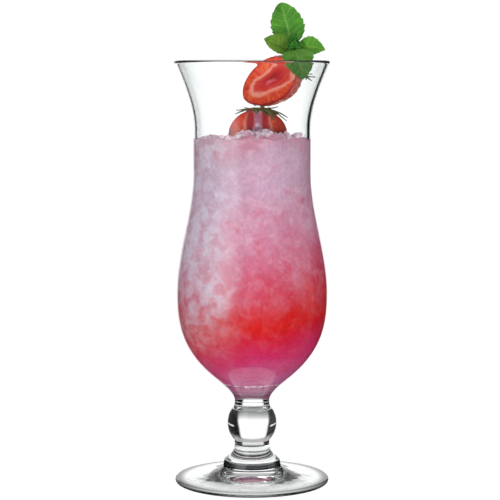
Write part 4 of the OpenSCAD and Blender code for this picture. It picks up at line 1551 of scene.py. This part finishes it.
# %% Sprig of mint
SIDE_LEAF_W = 10.4 * MM
FRONT_LEAF_W = 15.5 * MM
FRONT_BEARING = math.radians(38.6)
FRONT_TIP_R = RIM_R - WALL - 6.3 * MM
front_reach = (
    (FRONT_TIP_R * math.cos(FRONT_BEARING) - joint.x) / MM,
    (-FRONT_TIP_R * math.sin(FRONT_BEARING) - joint.y) / MM, -14
)
mint_piece("mint_leaf_back", "mint_back_leaf", [mint_leaf(
    MINT_STEM_R, (-5.6, 5.5, 21.2), (0, 0.75, 0.08), (0.55, 1, 0.55), (0.12, -1, 0.3), BACK_LEAF_W, 8, 12,
    BLUNT, 0.5
)], back_green)
mint_piece("mint_leaf_left", "mint_left_leaf", [mint_leaf(
    0, (-13.4, -2.5, 4.8), (0.3, 0.9, 0.1), (0.7, 1.2, 0.75), (0.2, -0.9, 0.35), SIDE_LEAF_W, 7, 20,
    POINTED, 0.5
)], left_green)
mint_piece("mint_leaf_right", "mint_right_leaf", [mint_leaf(
    0, (14.2, -3, -0.4), (0.3, 0.9, -3), (0.65, 1.1, -3.4), (-0.1, -0.9, 0.4), SIDE_LEAF_W, 7, 18,
    POINTED, 0.5
)], right_green)
mint_piece("mint_leaf_front", "mint_front_leaf", [mint_leaf(
    0, front_reach, (0.1, 0.5, 0), (0.6, 1, 0.3), (0, -0.75, 0.65), FRONT_LEAF_W, 8, 10, OVAL, 0.5
)], front_green)
mint_piece("mint_young_leaves", "mint_bud", [
    mint_leaf(up, reach, first, second, face, width * MM, 4, fold, POINTED)
    for up, reach, first, second, face, width, fold in (
        (2 * MINT_STEM_R, (1.2, -2.6, 5.5), (0, 0.6, 0.3), (0.4, 1, 0.6), (0.1, -1, 0.5), 4.6, 30),
        (2 * MINT_STEM_R, (-1.2, 1, 4.6), (0, 0.9, 0.3), (0.6, 1, 0.6), (0, -1, 0.2), 3.2, 25),
        (0, (0.4, -3.4, 4.4), (0, 0.8, -0.1), (0.2, 1, 0.5), (0.1, -1, 0.4), 5.0, 26),
        (0, (-3.0, -3.0, 1.6), (0.2, 0.9, 0.3), (0.7, 1, 1.2), (0.1, -1, 0.5), 3.8, 25),
        (0, (3.6, -3.0, 2.2), (0.2, 0.9, 0.3), (0.7, 1, 1.2), (-0.1, -1, 0.5), 4.0, 25),
    )
], young_green)

# %% [markdown]
# Lumps of crushed ice lie on the slush, most of them heaped against the lower strawberry. Geometry Nodes
# dents a ball with noise, sets a copy on each point, turns each one at random and gives it the size kept on
# its point.

# %% Heaped ice by Geometry Nodes
LUMPS = 110
HEAPED_SHARE = 0.6
CLEAR_R = 25.5 * MM
SCATTER_R = 24.5 * MM


def ice_finish():
    material, tree, shader = new_finish("wet_ice")
    place = object_place(tree)
    cloudy = noise_node(tree, place, 320, 4, 0.6)
    body = ramp_node(tree, cloudy, [
        (0.3, colour(206, 160, 184)), (0.5, colour(222, 196, 212)), (0.7, colour(232, 222, 232))
    ])
    feed(tree, shader, {
        "Base Color": body, "Roughness": span_node(tree, cloudy, 0.3, 0.7, 0.3, 0.14),
        "Subsurface Weight": 0.3, "Subsurface Radius": (1.0, 0.85, 0.9), "Subsurface Scale": 2 * MM,
        "Normal": bump_node(tree, noise_node(tree, place, 900, 3), 0.3, 0.2 * MM),
    })
    return material


def random_vector(tree, given, low, high):
    inputs = {"Min": low, "Max": high, "Seed": given["Seed"]}
    return add(tree, "FunctionNodeRandomValue", inputs, data_type="FLOAT_VECTOR").outputs[0]


def ice_tree():
    tree, given = new_tree("heap_ice", [("Dents", "Float"), ("Seed", "Int"), ("Finish", "Material")])
    ball = add(tree, "GeometryNodeMeshIcoSphere", {"Radius": 0.5, "Subdivisions": 3})
    dents = add(tree, "ShaderNodeTexNoise", {"Scale": 1.7, "Detail": 1.5}).outputs["Color"]
    centred = add(tree, "ShaderNodeVectorMath", {0: dents, 1: grey(0.5)}, operation="SUBTRACT").outputs[0]
    chunk = add(tree, "GeometryNodeSetPosition", {
        "Geometry": ball.outputs["Mesh"], "Offset": scaled(tree, centred, given["Dents"])
    }).outputs[0]
    shape = random_vector(tree, given, (0.7, 0.6, 0.4), (1.2, 1.0, 0.8))
    size = scaled(tree, shape, named_value(tree, "size", "FLOAT"))
    set_on_points(tree, given, chunk, random_vector(tree, given, (0, 0, 0), (6.28, 6.28, 6.28)), size)
    return tree


def ice_spots(count, rng):
    """Places on the slush clear of the strawberry, and a size for each: most of them lie in the heap."""
    spots = []
    middle = lower_low.x + LOWER_D / 2
    while len(spots) < count:
        if len(spots) < count * HEAPED_SHARE:
            x, y = rng.gauss(HEAP[0], 9 * MM), rng.gauss(HEAP[1], 3 * MM)
        else:
            turn, away = rng.uniform(0, 2 * math.pi), SCATTER_R * math.sqrt(rng.uniform(0.2, 1))
            x, y = away * math.cos(turn), away * math.sin(turn)
        size = rng.uniform(1.8, 3.6) * MM
        if math.hypot(x, y) > CLEAR_R - size / 2:
            continue
        if y > lower_low.y - size / 2 and math.hypot(x - middle, y - lower_low.y) < LOWER_D / 2 + size / 3:
            continue
        spots.append(((x, y, surface_z + heap(x, y) + 0.1 * size), size))
    return spots


spots = ice_spots(LUMPS, random.Random(7))
cloud = piece("ice_points", [spot for spot, _ in spots], [], [])
cloud.data.attributes.new("size", "FLOAT", "POINT").data.foreach_set("value", [size for _, size in spots])
heaped_ice = run_tree(cloud, ice_tree(), {"Dents": 0.8, "Seed": 3, "Finish": ice_finish()}, "heaped_ice")
settle(heaped_ice, "glass", "ice", "ice_chips")

# %% [markdown]
# Where the drink meets the bowl's floor, a thin thread of air stays caught all the way round, with a few
# bubbles along it. Air in a liquid looks bright by what it mirrors, and the pale, glossy finish of both
# paints that reflection. The thread is a ring of uneven thickness, and the bubbles come from the tree that
# sets the seeds.

# %% Air caught under the syrup
AIR_RING_R = 13.6 * MM
THREAD_SIDES = 8


def air_finish():
    material, tree, shader = new_finish("caught_air")
    broken = noise_node(tree, object_place(tree), 500, 2)
    streaks = span_node(tree, broken, 0.4, 0.6)
    # Pale streaks: painted reflection of the bright air.
    feed(tree, shader, {
        "Base Color": mix_colours(tree, streaks, colour(248, 236, 244), colour(214, 150, 184)),
        "Roughness": span_node(tree, broken, 0.3, 0.7, 0.08, 0.25),
    })
    return material


def air_thread(height):
    """Points and faces of a ring of air, closed both round the glass and round the thread."""
    points, faces = [], []
    for k in range(SEGMENTS):
        a = 2 * math.pi * k / SEGMENTS
        thick = (0.52 + 0.16 * noise.noise(Vector((3 * math.cos(a), 3 * math.sin(a), 5)))) * MM
        here, beyond = k * THREAD_SIDES, (k + 1) % SEGMENTS * THREAD_SIDES
        for j in range(THREAD_SIDES):
            b = 2 * math.pi * j / THREAD_SIDES
            r = AIR_RING_R + thick * math.cos(b)
            points.append((r * math.cos(a), r * math.sin(a), height + thick * math.sin(b)))
            m = (j + 1) % THREAD_SIDES
            faces.append((here + j, beyond + j, beyond + m, here + m))
    return points, faces


caught_air = air_finish()
wet_floor = lifted(inner_side(WALL - WET))[:FLOOR_STEPS + 1]
air_z = np.interp(AIR_RING_R, [r for r, _ in wet_floor], [z for _, z in wet_floor])
air_ring = piece("air_ring", *air_thread(air_z), [caught_air])
point_outward(air_ring)
settle(air_ring, "glass", "ice")

# %% Bubbles
SMALL_BUBBLES = 26
LARGE_BEARINGS = (-8, 14, 150, 233)
bubble_rng = random.Random(5)


def bubble_row(bearings, lower):
    """Points on the bowl's floor ring by their bearing from the front, each with its two directions."""
    row = []
    for bearing in bearings:
        a = math.radians(bearing)
        out = Vector((math.sin(a), -math.cos(a), 0))
        along = Vector((math.cos(a), math.sin(a), 0))
        row.append((out * AIR_RING_R + Vector((0, 0, air_z - lower)), out, along))
    return row


small_row = bubble_row([bubble_rng.uniform(0, 360) for _ in range(SMALL_BUBBLES)], 0.2 * MM)
large_row = bubble_row(LARGE_BEARINGS, 0.5 * MM)
set_seeds("small_bubbles", small_row, "glass", (0.8, 0.7, 0.5), caught_air, "ice")
set_seeds("large_bubbles", large_row, "glass", (3.2, 1.5, 0.9), caught_air, "ice")

# %% [markdown]
# The pick and the mint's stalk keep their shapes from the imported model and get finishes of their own: birch
# with a fine grain that runs up the stick, and a green stalk that turns brownish and is ribbed along its
# length.

# %% Pick and stalk


def grain_finish(name, pale, dark, roughness, along, scale):
    """Fibres drawn out along the piece, with darker patches. A small share along makes the fibres long."""
    material, tree, shader = new_finish(name)
    grain = noise_node(tree, object_place(tree, (1, 1, along)), scale, 4, 0.6, 0.4)
    patches = noise_node(tree, object_place(tree), scale / 6, 2)
    body = mix_colours(tree, span_node(tree, grain, 0.38, 0.62), pale, dark)
    feed(tree, shader, {
        "Base Color": mix_colours(tree, span_node(tree, patches, 0.4, 0.7, 0, 0.35), body, dark),
        "Roughness": span_node(tree, grain, 0.3, 0.7, roughness - 0.1, roughness + 0.1),
        "Normal": bump_node(tree, grain, 0.4, 0.1 * MM),
    })
    return material


pick_wood = grain_finish("pick_wood", colour(206, 172, 118), colour(168, 128, 78), 0.6, 0.06, 2600)
stalk_green = grain_finish("mint_stalk", colour(58, 96, 28), colour(84, 62, 34), 0.5, 0.08, 1800)
for name, material in (("pick", pick_wood), ("mint_stem", stalk_green)):
    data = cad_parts[name].data
    data.materials.clear()
    data.materials.append(material)
print("pick and stalk finished")
